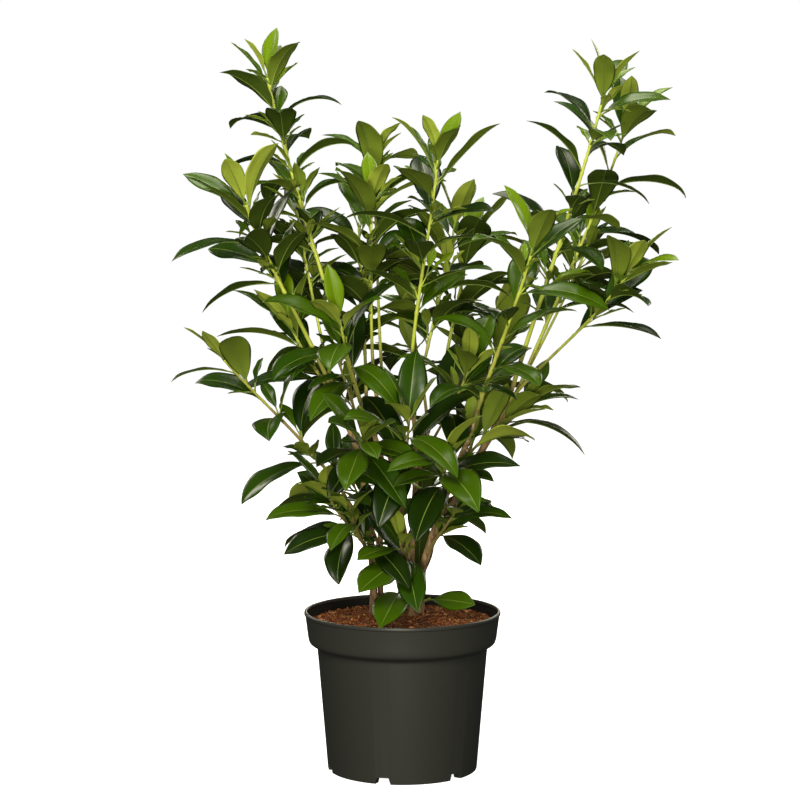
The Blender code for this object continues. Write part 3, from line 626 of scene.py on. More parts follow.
class LeafShape:
    """The fine form of one leaf on the same midrib as the solid leaf."""

    def __init__(self, leaf, rng):
        self.leaf = leaf
        self.twist = rng.uniform(-LEAF_TWIST, LEAF_TWIST)
        self.hook = HOOK * rng.uniform(0.1, 1.0) ** 1.5 * min(1, leaf.length / HOOKED_LEAF) ** 3
        self.wave_start = [rng.uniform(0, 2 * math.pi) for _ in range(2)]
        self.wave = MARGIN_WAVE * rng.uniform(0.3, 1.0)
        self.wobble = [rng.uniform(0, 2 * math.pi) for _ in range(2)]
        self.fold = FOLD_AT_RIB * rng.uniform(0.7, 1.25)
        self.base = rng.uniform(*OUTLINE_BASE)
        self.tip = rng.uniform(*OUTLINE_TIP)
        self.veins = VEIN_PAIRS + rng.randrange(3)
        stalk = STALK / leaf.length
        self.stalk = stalk
        along = np.linspace(0, 1, PATH_STEPS + 1)
        direction = np.array(leaf.direction)
        upward = np.array(leaf.upward)
        middle = (along[1:] + along[:-1]) / 2
        bend = self.bend(middle)[:, None]
        steps = (direction * np.cos(bend) - upward * np.sin(bend)) * leaf.length / PATH_STEPS
        reach = np.concatenate([np.zeros((1, 3)), np.cumsum(steps, axis=0)])
        self.path = np.array(leaf.root) + reach
        self.along = along
        self.direction = direction
        self.upward = upward
        self.side = np.cross(upward, direction)

    def bend(self, along):
        """How far the leaf has drooped, with the hook of its tip."""
        hooked = np.clip((along - HOOK_START) / (1 - HOOK_START), 0, 1) ** 2
        return self.leaf.droop * along**DROOP_CURVE + self.hook * hooked

    def frames(self, along):
        """Places on the midrib with the directions across and above it, turned by the twist."""
        places = np.stack([np.interp(along, self.along, axis) for axis in self.path.T], axis=1)
        bend = self.bend(along)[:, None]
        above = self.upward * np.cos(bend) + self.direction * np.sin(bend)
        twist = (self.twist * np.clip((along - self.stalk) / (1 - self.stalk), 0, 1))[:, None]
        across = self.side * np.cos(twist) + above * np.sin(twist)
        above = above * np.cos(twist) - self.side * np.sin(twist)
        return places, across, above

    def outline(self, along):
        """Width of the blade as a share of its widest, drawn out to a point."""
        widest = self.base / (self.base + self.tip)
        full = widest**self.base * (1 - widest) ** self.tip
        point = 1 - POINT_DRAW * np.clip((along - POINT_START) / (1 - POINT_START), 0, 1)
        return OUTLINE_WIDTH * along**self.base * (1 - along) ** self.tip / full * point

    def blade(self):
        """Points of the blade's skin in rings of top then underside, ending in the tip."""
        even = np.linspace(0, 1, BLADE_ROWS + 1)
        crowded = (1 - np.cos(even * math.pi)) / 2
        rows = (ROW_CROWDING * crowded + (1 - ROW_CROWDING) * even)[:-1]
        places, across, above = self.frames(self.stalk + (1 - self.stalk) * rows)
        outline = self.outline(rows)
        wide = (self.leaf.length - STALK) * BLADE_HALF_WIDTH * outline
        wide = np.maximum(wide, STALK_HALF_WIDTH)
        columns = np.array(BLADE_COLUMNS)[None]
        edge = np.abs(columns)
        start = np.where(columns > 0, self.wobble[0], self.wobble[1])
        wobble = 1 + OUTLINE_WOBBLE * edge * np.sin(rows[:, None] * WOBBLE_RATE + start)
        lateral = -columns * wide[:, None] * wobble
        height = wide[:, None] * (self.fold * edge - MARGIN_ROLL * edge**2)
        phase = (rows[:, None] - VEIN_SWEEP * edge) * self.veins
        fade = np.sin(math.pi * np.clip(edge, 0.05, 0.95)) * outline[:, None]
        height = height + VEIN_RELIEF * np.cos(2 * math.pi * phase) * fade
        start = np.where(columns > 0, self.wave_start[0], self.wave_start[1])
        wave = np.sin(rows[:, None] * 2 * math.pi * WAVES_PER_BLADE + start)
        height = height + self.wave * wave * edge**2 * outline[:, None]
        top = places[:, None] + across[:, None] * lateral[..., None]
        top = top + above[:, None] * height[..., None]
        under = top[:, -2:0:-1]
        skin = above[:, None] * BLADE_SKIN
        rim = np.array([0] + [1] * (len(BLADE_COLUMNS) - 2) + [0])
        rings = np.concatenate([top + skin * rim[None, :, None], under - skin], axis=1)
        tip = self.frames(np.array([1.0]))[0]
        return np.concatenate([rings.reshape(-1, 3), tip])

    def rib(self):
        """Points of the stalk and of the rib that runs on under the blade."""
        along = np.linspace(0, self.stalk + (1 - self.stalk) * RIB_END, RIB_ROWS)
        along = np.sort(np.append(along, self.stalk))
        places, across, above = self.frames(along)
        on_blade = np.clip((along - self.stalk) / (1 - self.stalk), 0, 1)
        on_stalk = np.clip(along / self.stalk, 0, 1)
        radius = RIB_RADII[0] + (RIB_RADII[1] - RIB_RADII[0]) * on_stalk
        radius = radius + (RIB_RADII[2] - RIB_RADII[1]) * on_blade**RIB_TAPER
        sunk = (radius * RIB_SUNK * np.clip(on_blade * RIB_SINKING, 0, 1))[:, None]
        radii = np.repeat(radius[:, None], RIB_SIDES, axis=1)
        return swept(places - above * sunk, across, above, radii)


def blade_faces():
    """Faces of a blade's skin, and for each its part: top, underside or pale crease."""
    columns = len(BLADE_COLUMNS)
    around = 2 * columns - 2
    faces = strip_faces(BLADE_ROWS, around, True)
    part = np.ones(around, int)
    part[: columns - 1] = 0
    part[columns // 2 - 1] = 2
    last = (BLADE_ROWS - 1) * around
    tip = BLADE_ROWS * around
    ends = [(last + column, last + (column + 1) % around, tip) for column in range(around)]
    heel = np.array([range(around - 1, -1, -1)])
    return (faces, np.tile(part, BLADE_ROWS - 1)), (np.array(ends), part), (heel, np.array([1]))


# Woody limbs and green twigs: rings along each limb, with relief.
RING_STEP = 0.0025
BARK_SIDES = 24
TWIG_SIDES = 10
SUNK_IN_SOIL = 0.006
SUNK_IN_PARENT = 0.004
SUNK_IN_SIDE = 0.0005
SUNK_SPREAD = (1.12, 0.98, 0.9)
PARENT_BLEND = 0.018
COLLAR_SWELL = 0.40
COLLAR_REACH = 0.005
SCAR_SPACING = (0.017, 0.031)
SCAR_SWELL = 0.09
SCAR_REACH = 0.0022
SCAR_STRENGTH = (0.4, 1.2)
SCAR_HOLLOW = (0.004, -0.035, 0.0014)
SCARLESS_TIP = 0.01
NODE_SWELL = 0.24
NODE_REACH = 0.0030
BARK_RIDGES = 0.075
BARK_UNEVEN = 0.060
TWIG_UNEVEN = 0.035
UNEVEN_SCALE = 110
RIDGE_SCALE = (650, 90)
CRACK_SCALE = (300, 900)
CRACK_SHARE = 0.6
FLARE_LOBES = 3
LOBE_SWELL = 0.09
LOBE_SHIFT = 400
FLARE_SEEN = 0.40
BARK_ZONES = (0.285, 0.400, 0.500)
TWIG_ZONES = (0.520, 0.600)
ZONE_BLUR = 0.035
ZONE_GRAIN = 70
SHARE_STEPS = 120
BUD_SIDES = 6
BUD_REACH = (0.0, 0.25, 0.55, 0.85, 1.0)
BUD_WIDTHS = (0.7, 1.0, 0.85, 0.4, 0.04)
BUD_SCALE = (0.75, 1.15)
BUD_LEAN = 0.55
BUD_OFFSET = 0.0024
END_BUD_SUNK = 0.001
SIDE_BUD = (0.0050, 0.0013)
END_BUD = (0.0110, 0.0022)

# Short side spurs, each with a few young leaves, with tones for low and for high ones; the darker
# tones of low ones are painted shade.
SPUR_FIRST = 3
SPUR_SHARE = 0.55
SPUR_LENGTH = (0.008, 0.024)
SPUR_RADII = (0.0012, 0.0008)
SPUR_LEAVES = (2, 3)
SPUR_LEAF = (0.045, 0.080)
SPUR_LIFT = (22, 48)
SPUR_DROOP = (5, 45)
SPUR_LEAF_STEP = 0.25 / 3
SPUR_TRIES = 3
SPUR_TRY_TURN = 1.1
SPUR_TRY_SHRINK = 0.85
SPUR_TONES = ((1, 2, 2), (0, 1, 1, 2))

# Leaf tones by age, from the shoot's tip down; young leaves below SHADE_HEIGHT are a tone darker,
# which is painted shade.
YOUNG_LEAVES = 2
MID_LEAVES = 5
MID_LIGHT_SHARE = 0.6
MID_PALE_SHARE = 0.3
DARK_SHARE = 0.42
LIGHT_SHARE = 0.20
SHADE_HEIGHT = 0.62
PIECE_TRIANGLES = 165000


def stretched_noise(spot, level, upright):
    """Noise at a place, with one scale for level directions and one for the upright."""
    return noise.noise(Vector((spot.x * level, spot.y * level, spot.z * upright)))


def limb_skin(limb, parent, place, sides, swellings, rough):
    """Points of the rings of one limb, with its flare or collar, swellings and relief."""
    count = max(8, round(limb.length / RING_STEP))
    along = np.linspace(0, 1, count + 1)
    places = [limb.point(a) for a in along]
    headings = [limb.heading(a) for a in along]
    reach = along * limb.length
    radius = np.array([limb.radius(a) for a in along])
    if parent is None:
        radius = radius * (1 + ROOT_FLARE * FLARE_SEEN * np.exp(-reach / ROOT_FLARE_HEIGHT))
        places.insert(0, places[0] - Vector((0, 0, SUNK_IN_SOIL)))
        extra = radius[0] * SUNK_SPREAD[0]
    elif place == 1:
        blend_in = np.clip(1 - reach / PARENT_BLEND, 0, 1) ** 2
        radius = radius + (parent.radius(1) - radius) * blend_in
        places.insert(0, places[0] - parent.heading(1) * SUNK_IN_PARENT)
        extra = radius[0] * SUNK_SPREAD[1]
    else:
        beyond = np.maximum(reach - parent.radius(place), 0)
        radius = radius * (1 + COLLAR_SWELL * np.exp(-beyond / COLLAR_REACH))
        places.insert(0, places[0] - headings[0] * SUNK_IN_SIDE)
        extra = radius[0] * SUNK_SPREAD[2]
    headings.insert(0, headings[0])
    reach = np.concatenate([[0], reach])
    radius = np.concatenate([[extra], radius])
    for spot, swell, width in swellings:
        radius = radius * (1 + swell * np.exp(-(((reach - spot) / width) ** 2)))
    frames = [square_to(heading) for heading in headings]
    side = np.array([f[0] for f in frames])
    other = np.array([f[1] for f in frames])
    radii = np.repeat(radius[:, None], sides, axis=1)
    uneven, ridges = rough
    turns = np.arange(sides) * 2 * np.pi / sides
    for row, centre in enumerate(places):
        for column in range(sides):
            spot = centre + frames[row][0] * (math.cos(turns[column]) * radius[row])
            spot = spot + frames[row][1] * (math.sin(turns[column]) * radius[row])
            lump = uneven * noise.noise(spot * UNEVEN_SCALE)
            if ridges:
                lump += ridges * stretched_noise(spot, *RIDGE_SCALE)
                lump += ridges * CRACK_SHARE * stretched_noise(spot, *CRACK_SCALE)
            radii[row, column] *= 1 + lump
    if parent is None:
        lobes = np.sin(FLARE_LOBES * turns + places[0].x * LOBE_SHIFT)
        radii *= 1 + LOBE_SWELL * lobes * np.exp(-reach / ROOT_FLARE_HEIGHT)[:, None]
    return swept(np.array(places), side, other, radii)


def zone_of(points, sides, zones):
    """The number of the height zone that each face of a limb lies in, with a blurred edge."""
    rows = len(points) // sides
    heights = points[:, 2].reshape(rows, sides)
    middle = (heights[1:] + heights[:-1]) / 2
    blur = np.array([
        [noise.noise(Vector(points[row * sides + column]) * ZONE_GRAIN) for column in range(sides)]
        for row in range(rows - 1)
    ])
    return np.searchsorted(zones, (middle + blur * ZONE_BLUR).reshape(-1))


def add_limb(pile, limb, parent, place, sides, swellings, rough, zones, first_slot):
    """One limb's skin in a pile."""
    points = limb_skin(limb, parent, place, sides, swellings, rough)
    walls, caps = capped(len(points) // sides, sides)
    slots = first_slot + zone_of(points, sides, np.array(zones))
    pile.add(points, (walls, slots), (caps, np.array([slots[0], slots[-1]])))


def parent_of(size, limbs):
    """A limb's parent and its place on it."""
    if "limb" not in size:
        return None, 0
    return limbs[size["limb"]], size["place"]


def scars(limb, rng):
    """Old leaf scars up a woody limb, each a slight swelling with a hollow beyond it."""
    found = []
    spot = rng.uniform(*SCAR_SPACING)
    beyond, depth, width = SCAR_HOLLOW
    while spot < limb.length - SCARLESS_TIP:
        found.append((spot, SCAR_SWELL * rng.uniform(*SCAR_STRENGTH), SCAR_REACH))
        found.append((spot + beyond, depth, width))
        spot += rng.uniform(*SCAR_SPACING)
    return found


def nearest_share(stem, place):
    """How far along a stem a place on it is."""
    shares = [i / SHARE_STEPS for i in range(SHARE_STEPS + 1)]
    return min(shares, key=lambda share: (stem.point(share) - place).length)


def grow_spurs(name, stem, leaves, space):
    """Short spurs in some axils, each with its young leaves, where there is room."""
    rng = random.Random(SHOOTS[name]["seed"] + 1000)
    spurs = []
    for leaf in leaves[SPUR_FIRST:]:
        if rng.random() > SPUR_SHARE:
            continue
        heading = stem.heading(nearest_share(stem, leaf.root))
        start = (leaf.direction * 0.8 + heading * 0.7 + Vector((0, 0, 0.25))).normalized()
        tip = leaf.root + start * rng.uniform(*SPUR_LENGTH)
        spur = Limb(leaf.root, start, tip, SPUR_RADII)
        own = []
        for number in range(rng.randint(*SPUR_LEAVES)):
            size = rng.uniform(*SPUR_LEAF)
            turn = rng.uniform(0, 2 * math.pi)
            lift = math.radians(rng.uniform(*SPUR_LIFT))
            droop = math.radians(rng.uniform(*SPUR_DROOP))
            for attempt in range(SPUR_TRIES):
                swing = turn + number * LEAF_TURN + attempt * SPUR_TRY_TURN
                length = size * SPUR_TRY_SHRINK**attempt
                young = leaf_on(spur, 1 - SPUR_LEAF_STEP * number, swing, lift, 0, length, droop)
                blade = young.solid(LEAF_CLEARANCE, whole=False)
                if space.free(name, ("blade", "limb"), *blade):
                    space.add(name, "blade", *blade)
                    own.append(young)
                    break
        if own:
            spurs.append((spur, own))
    return spurs


def tone_of(number, leaf, rng):
    """The tone numbers of a leaf's upper side and underside, a young leaf a tone darker below
    SHADE_HEIGHT as painted shade.
    """
    high = leaf.root.z > SHADE_HEIGHT
    draw = rng.random()
    if number < YOUNG_LEAVES:
        return (0 if high else 1), 0
    if number < MID_LEAVES:
        return (1 if draw < MID_LIGHT_SHARE else 2), (0 if draw < MID_PALE_SHARE else 1)
    if draw < DARK_SHARE:
        return 3, 2
    if draw > 1 - LIGHT_SHARE:
        return 1, 1
    return 2, 2


def add_leaf(pile, leaf, tones, rng):
    """One fine leaf with its stalk and rib in a pile."""
    shape = LeafShape(leaf, rng)
    upper, under = tones
    rib_slot = len(UPPER_TONES) + len(UNDER_TONES)
    slot_of_part = np.array([upper, len(UPPER_TONES) + under, rib_slot])
    groups = [(faces, slot_of_part[parts]) for faces, parts in BLADE_FACES]
    pile.add(shape.blade(), *groups)
    points = shape.rib()
    walls, caps = capped(RIB_ROWS + 1, RIB_SIDES)
    pile.add(points, (walls, rib_slot), (caps, rib_slot))


def build_foliage(space, limbs, leaf_finishes, twig_finishes):
    """Leaves, twigs and spurs of every shoot, in joined pieces."""
    grown = {name: grow_leaves(name, limbs[name], SHOOTS[name], space) for name in SHOOTS}
    spurs = {name: grow_spurs(name, limbs[name], grown[name], space) for name in SHOOTS}
    twigs = Pile()
    pile, names, made = Pile(), [], 0
    for name, rule in SHOOTS.items():
        rng = random.Random(rule["seed"])
        stem = limbs[name]
        places = [nearest_share(stem, leaf.root) * stem.length for leaf in grown[name]]
        swellings = [(spot, NODE_SWELL, NODE_REACH) for spot in places]
        parent, place = parent_of(rule, limbs)
        add_limb(twigs, stem, parent, place, TWIG_SIDES, swellings, (TWIG_UNEVEN, 0), TWIG_ZONES, 0)
        add_bud(twigs, stem.point(1) - stem.end * END_BUD_SUNK, stem.end, END_BUD, rng)
        for number, leaf in enumerate(grown[name]):
            add_leaf(pile, leaf, tone_of(number, leaf, rng), rng)
            heading = stem.heading(nearest_share(stem, leaf.root))
            way = (leaf.direction * BUD_LEAN + heading).normalized()
            add_bud(twigs, leaf.root + way * BUD_OFFSET, way, SIDE_BUD, rng)
        for spur, own in spurs[name]:
            add_limb(twigs, spur, stem, 0.5, TWIG_SIDES, [], (TWIG_UNEVEN, 0), TWIG_ZONES, 0)
            add_bud(twigs, spur.point(1), spur.end, SIDE_BUD, rng)
            for leaf in own:
                # Spur leaves below SHADE_HEIGHT take darker tones: painted shade.
                high = leaf.root.z > SHADE_HEIGHT
                upper = rng.choice(SPUR_TONES[high])
                add_leaf(pile, leaf, (upper, rng.choice((0, 1)) if high else 1), rng)
        names.append(name)
        if pile.triangles() > PIECE_TRIANGLES or name == list(SHOOTS)[-1]:
            made += 1
            piece = pile.piece(f"leaves_{made}", leaf_finishes)
            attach(piece, "root")
            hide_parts(*names)
            pile, names = Pile(), []
    piece = twigs.piece("twigs", twig_finishes)
    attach(piece, "root")


def add_bud(pile, foot, way, size, rng):
    """One small pointed bud in a pile."""
    scale = rng.uniform(*BUD_SCALE)
    length, radius = size[0] * scale, size[1] * scale
    rows = len(BUD_REACH)
    places = np.array(foot) + np.array(way) * (np.array(BUD_REACH) * length)[:, None]
    side, other = (np.tile(np.array(v), (rows, 1)) for v in square_to(way))
    wide = np.repeat((np.array(BUD_WIDTHS) * radius)[:, None], BUD_SIDES, axis=1)
    walls, caps = capped(rows, BUD_SIDES)
    slot = len(TWIG_TONES)
    pile.add(swept(places, side, other, wide), (walls, slot), (caps, slot))


def build_bark(limbs, finishes):
    """Every stem and bough with its bark in one mesh."""
    pile = Pile()
    for order, (name, size) in enumerate({**STEMS, **BOUGHS}.items()):
        parent, place = parent_of(size, limbs)
        rng = random.Random(order)
        rough = (BARK_UNEVEN, BARK_RIDGES)
        swellings = scars(limbs[name], rng)
        add_limb(pile, limbs[name], parent, place, BARK_SIDES, swellings, rough, BARK_ZONES, 0)
    piece = pile.piece("bark_limbs", finishes)
    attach(piece, "root")
    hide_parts(*STEMS, *BOUGHS)


# The pot's finer form.
POT_COLUMNS = 180
EDGE_STEPS = 4
NOTCH_HALF_TURN = math.degrees(NOTCH_WIDTH / 2 / BODY_FOOT_RADIUS)
NOTCH_TOP_HALF_TURN = math.degrees(NOTCH_TOP_WIDTH / 2 / BODY_FOOT_RADIUS)
# Depth below the pot's top where the painted shade of the inner wall starts.
RIM_ABOVE_PAINTED_SHADE = 0.004
SHARP_EDGE = math.radians(38)


def rounded(profile):
    """A profile of (radius, height, rounding) with each corner turned into a short curve."""
    points = [np.array(p[:2], float) for p in profile]
    made = [points[0]]
    for before, here, after, (_, _, rounding) in zip(points, points[1:], points[2:], profile[1:]):
        if rounding == 0:
            made.append(here)
            continue
        back = before - here
        ahead = after - here
        cut = min(rounding, np.linalg.norm(back) * 0.49, np.linalg.norm(ahead) * 0.49)
        start = here + back / np.linalg.norm(back) * cut
        end = here + ahead / np.linalg.norm(ahead) * cut
        for step in range(EDGE_STEPS + 1):
            t = step / EDGE_STEPS
            made.append(start * (1 - t) ** 2 + here * 2 * t * (1 - t) + end * t**2)
    made.append(points[-1])
    return np.array(made)


def pot_profile():
    """The pot's outline from the middle of its underside, up the outside and down the inside."""
    inside = [(radius, height, 0.002) for radius, height in pot_inside()[::-1]]
    return rounded([
        (0, 0, 0),
        (FOOT_PAD_RADIUS, 0, 0.001),
        (FOOT_PAD_RADIUS + 0.002, DRAIN_CHANNEL_HEIGHT, 0.001),
        (FOOT_RING_INNER_RADIUS - 0.002, DRAIN_CHANNEL_HEIGHT, 0.001),
        (FOOT_RING_INNER_RADIUS, 0, 0.0006),
        (BODY_FOOT_RADIUS, 0, 0.0022),
        (BODY_TOP_RADIUS, BODY_TOP, 0.0035),
        (BODY_TOP_RADIUS + 0.0050, BODY_TOP + 0.0028, 0.003),
        (COLLAR_FOOT_RADIUS - 0.0012, COLLAR_FOOT - 0.0036, 0.0045),
        (collar_radius(COLLAR_FOOT + 0.004), COLLAR_FOOT + 0.004, 0.003),
        (collar_radius(POT_HEIGHT - 0.0052), POT_HEIGHT - 0.0052, 0.0006),
        (LIP_RADIUS, POT_HEIGHT - 0.0046, 0.0010),
        (LIP_RADIUS, POT_HEIGHT, 0.0021),
        (LIP_RADIUS - 0.0042, POT_HEIGHT, 0.0018),
        (LIP_RADIUS - 0.0044, POT_HEIGHT - 0.0034, 0.0010),
        *inside,
        (0, POT_FLOOR, 0),
    ])


def build_pot(finishes):
    """The pot as one turned shell with notches in its foot ring, its inner wall and floor darkened
    as painted shade.
    """
    turns = set(np.linspace(0, 360, POT_COLUMNS, endpoint=False).round(4))
    step = 360 / DRAIN_NOTCHES
    middles = [math.degrees(FIRST_NOTCH_TURN) + step * i for i in range(DRAIN_NOTCHES)]
    for middle, way in itertools.product(middles, (-1, 1)):
        for offset in (NOTCH_HALF_TURN, NOTCH_TOP_HALF_TURN):
            turns.add(round((middle + way * offset) % 360, 4))
    turns = np.array(sorted(turns))
    floor = np.zeros(len(turns))
    for middle in middles:
        off = np.abs((turns - middle + 180) % 360 - 180)
        slope = (NOTCH_HALF_TURN - off) / (NOTCH_HALF_TURN - NOTCH_TOP_HALF_TURN)
        floor = np.maximum(floor, np.clip(slope, 0, 1) * NOTCH_HEIGHT)
    profile = pot_profile()
    count = len(turns)
    angle = np.radians(turns)
    ways = np.stack([np.sin(angle), -np.cos(angle), np.zeros(count)], axis=1)
    shell = ways[None] * profile[1:-1, 0][:, None, None]
    height = np.repeat(profile[1:-1, 1][:, None], count, axis=1)
    on_foot_ring = (profile[1:-1, 0] > FOOT_PAD_RADIUS + 0.01)[:, None]
    shell[:, :, 2] = np.where(on_foot_ring, np.maximum(height, floor[None]), height)
    ends = np.array([[0, 0, profile[0, 1]], [0, 0, profile[-1, 1]]])
    rows = len(shell)
    crest = int(np.argmax(height[:, 0]))
    # Inner wall faces below the rim take the second finish, the pot's plastic darkened: painted
    # shade.
    inside = (np.arange(rows - 1) > crest) & (height[:-1, 0] < POT_HEIGHT - RIM_ABOVE_PAINTED_SHADE)
    column = np.arange(count)
    after = np.roll(column, -1)
    low = np.stack([np.zeros(count, int), 1 + after, 1 + column], axis=1)
    top = 1 + (rows - 1) * count
    high = np.stack([top + column, top + after, np.full(count, top + count)], axis=1)
    walls = (strip_faces(rows, count, True) + 1, np.repeat(inside.astype(int), count))
    pile = Pile()
    pile.add(np.concatenate([ends[:1], shell.reshape(-1, 3), ends[1:]]), walls, (low, 0), (high, 1))
    piece = pile.piece("pot_shell", finishes, SHARP_EDGE)
    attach(piece, "root")
    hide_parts("pot")


# The compost's loose surface.
SOIL_RINGS = 60
SOIL_COLUMNS = 220
SOIL_SKIRT = 0.008
SOIL_FLAT_RADIUS = 0.1
SOIL_EDGE_WIDTH = 0.03
SOIL_LIFT = 0.0004
SOIL_MIDDLE = 0.02
SOIL_SEED = 8
SOIL_LUMPS = ((48, 0.0024), (120, 0.0015), (330, 0.0009))
CRUMBS = 2400
CRUMB_SIZE = (0.0006, 0.0030)
CRUMB_SKEW = 2.2
CRUMB_LUMPS = (0.7, 1.25)
CRUMB_SQUASH = (0.6, 1.2)
CRUMB_RISE = (-0.3, 0.5)
CRUMB_MARGIN = 0.003
CRUMB_TONES = (0, 1, 1, 1, 2, 3)
FIBRES = 900
FIBRE_LENGTH = (0.005, 0.020)
FIBRE_RADIUS = (0.00013, 0.00028)
FIBRE_STEPS = 6
FIBRE_SIDES = 4
FIBRE_CURVE = 2.4
FIBRE_RISE = 0.003
FIBRE_LIFT = 0.0003
FIBRE_MARGIN = 0.008
FIBRE_EDGE = 0.002
FIBRE_TONES = (2, 3, 3, 1)


def soil_height(x, y):
    """Height of the loose surface at a place."""
    out = math.hypot(x, y)
    height = SOIL_TOP - SOIL_EDGE_DROP * max(0, (out - SOIL_FLAT_RADIUS) / SOIL_EDGE_WIDTH) ** 2
    for scale, size in SOIL_LUMPS:
        height += size * noise.noise(Vector((x * scale, y * scale, scale)))
    return height + SOIL_LIFT


def icosahedron():
    """Corners and outward faces of a regular lump with a radius of one."""
    golden = (1 + 5**0.5) / 2
    signs = [(a, b * golden) for a in (-1, 1) for b in (-1, 1)]
    corners = [(a, b, 0) for a, b in signs] + [(0, a, b) for a, b in signs]
    corners += [(b, 0, a) for a, b in signs]
    corners = np.array(corners) / math.hypot(1, golden)
    near = [[np.linalg.norm(a - b) < 1.1 for b in corners] for a in corners]
    faces = []
    for i, j, k in itertools.combinations(range(len(corners)), 3):
        if near[i][j] and near[j][k] and near[i][k]:
            facing = np.cross(corners[j] - corners[i], corners[k] - corners[i]) @ corners[i]
            faces.append((i, j, k) if facing > 0 else (i, k, j))
    return corners, np.array(faces)


def on_bed(edge, rng):
    """A random place within a distance of the middle."""
    out = edge * math.sqrt(rng.uniform(0, 1))
    turn = rng.uniform(0, 2 * math.pi)
    return out * math.cos(turn), out * math.sin(turn)


def add_fibre(pile, edge, rng):
    """One curved coir fibre on the compost, left out where it would be too short."""
    x, y = on_bed(edge - FIBRE_MARGIN, rng)
    way = rng.uniform(0, 2 * math.pi)
    length = rng.uniform(*FIBRE_LENGTH)
    curve = rng.uniform(-FIBRE_CURVE, FIBRE_CURVE)
    rise = rng.uniform(0, FIBRE_RISE)
    places = []
    for step in range(FIBRE_STEPS + 1):
        share = step / FIBRE_STEPS
        places.append((x, y, soil_height(x, y) + FIBRE_LIFT + rise * share * (2.0 - share)))
        x += math.cos(way + curve * share) * length / FIBRE_STEPS
        y += math.sin(way + curve * share) * length / FIBRE_STEPS
        if math.hypot(x, y) > edge - FIBRE_EDGE:
            break
    if len(places) < 3:
        return
    places = np.array(places)
    ahead = np.gradient(places, axis=0)
    ahead /= np.linalg.norm(ahead, axis=1)[:, None]
    side = np.cross(ahead, (0, 0, 1.0))
    side /= np.linalg.norm(side, axis=1)[:, None]
    thick = np.full((len(places), FIBRE_SIDES), rng.uniform(*FIBRE_RADIUS))
    points = swept(places, side, np.cross(side, ahead), thick)
    walls, caps = capped(len(places), FIBRE_SIDES)
    slot = rng.choice(FIBRE_TONES)
    pile.add(points, (walls[:, ::-1], slot), (caps[:, ::-1], slot))


def build_soil(finishes):
    """The compost as an uneven bed with crumbs and coir fibres on it."""
    edge = collar_radius(SOIL_TOP - SOIL_SKIRT) - POT_WALL - SOIL_CLEARANCE
    points = []
    for row in range(SOIL_RINGS):
        radius = edge * (SOIL_MIDDLE + (1 - SOIL_MIDDLE) * row / (SOIL_RINGS - 1))
        for column in range(SOIL_COLUMNS):
            turn = 2 * math.pi * column / SOIL_COLUMNS
            x, y = radius * math.cos(turn), radius * math.sin(turn)
            points.append((x, y, soil_height(x, y)))
    points += [(x, y, SOIL_TOP - SOIL_SKIRT) for x, y, _ in points[-SOIL_COLUMNS:]]
    bed = strip_faces(SOIL_RINGS + 1, SOIL_COLUMNS, True)[:, ::-1]
    middle = np.array([range(SOIL_COLUMNS)])
    base = np.array([range(len(points) - 1, len(points) - 1 - SOIL_COLUMNS, -1)])
    pile = Pile()
    pile.add(np.array(points), (bed, 0), (middle, 0), (base, 0))
    rng = np.random.default_rng(SOIL_SEED)
    corners, sides = icosahedron()
    for _ in range(CRUMBS):
        x, y = on_bed(edge - CRUMB_MARGIN, rng)
        size = CRUMB_SIZE[0] + (CRUMB_SIZE[1] - CRUMB_SIZE[0]) * rng.uniform(0, 1) ** CRUMB_SKEW
        lump = corners * rng.uniform(*CRUMB_LUMPS, (12, 1)) * size * rng.uniform(*CRUMB_SQUASH, 3)
        place = np.array((x, y, soil_height(x, y) + size * rng.uniform(*CRUMB_RISE)))
        pile.add(lump + place, (sides, rng.choice(CRUMB_TONES)))
    for _ in range(FIBRES):
        add_fibre(pile, edge, rng)
    piece = pile.piece("compost_bed", finishes)
    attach(piece, "root")
    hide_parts("soil")


# Grain that the finishes share: its range in noise, and the height of its relief.
GRAIN_RANGE = (0.3, 0.7)
RELIEF_STRENGTH = 0.6
COAT_ROUGHNESS = 0.22


def linear(colour):
    """A colour given in screen values from 0 to 255, as light."""
    return tuple(((c / 255 + 0.055) / 1.055) ** 2.4 if c > 10 else c / 255 / 12.92 for c in colour)


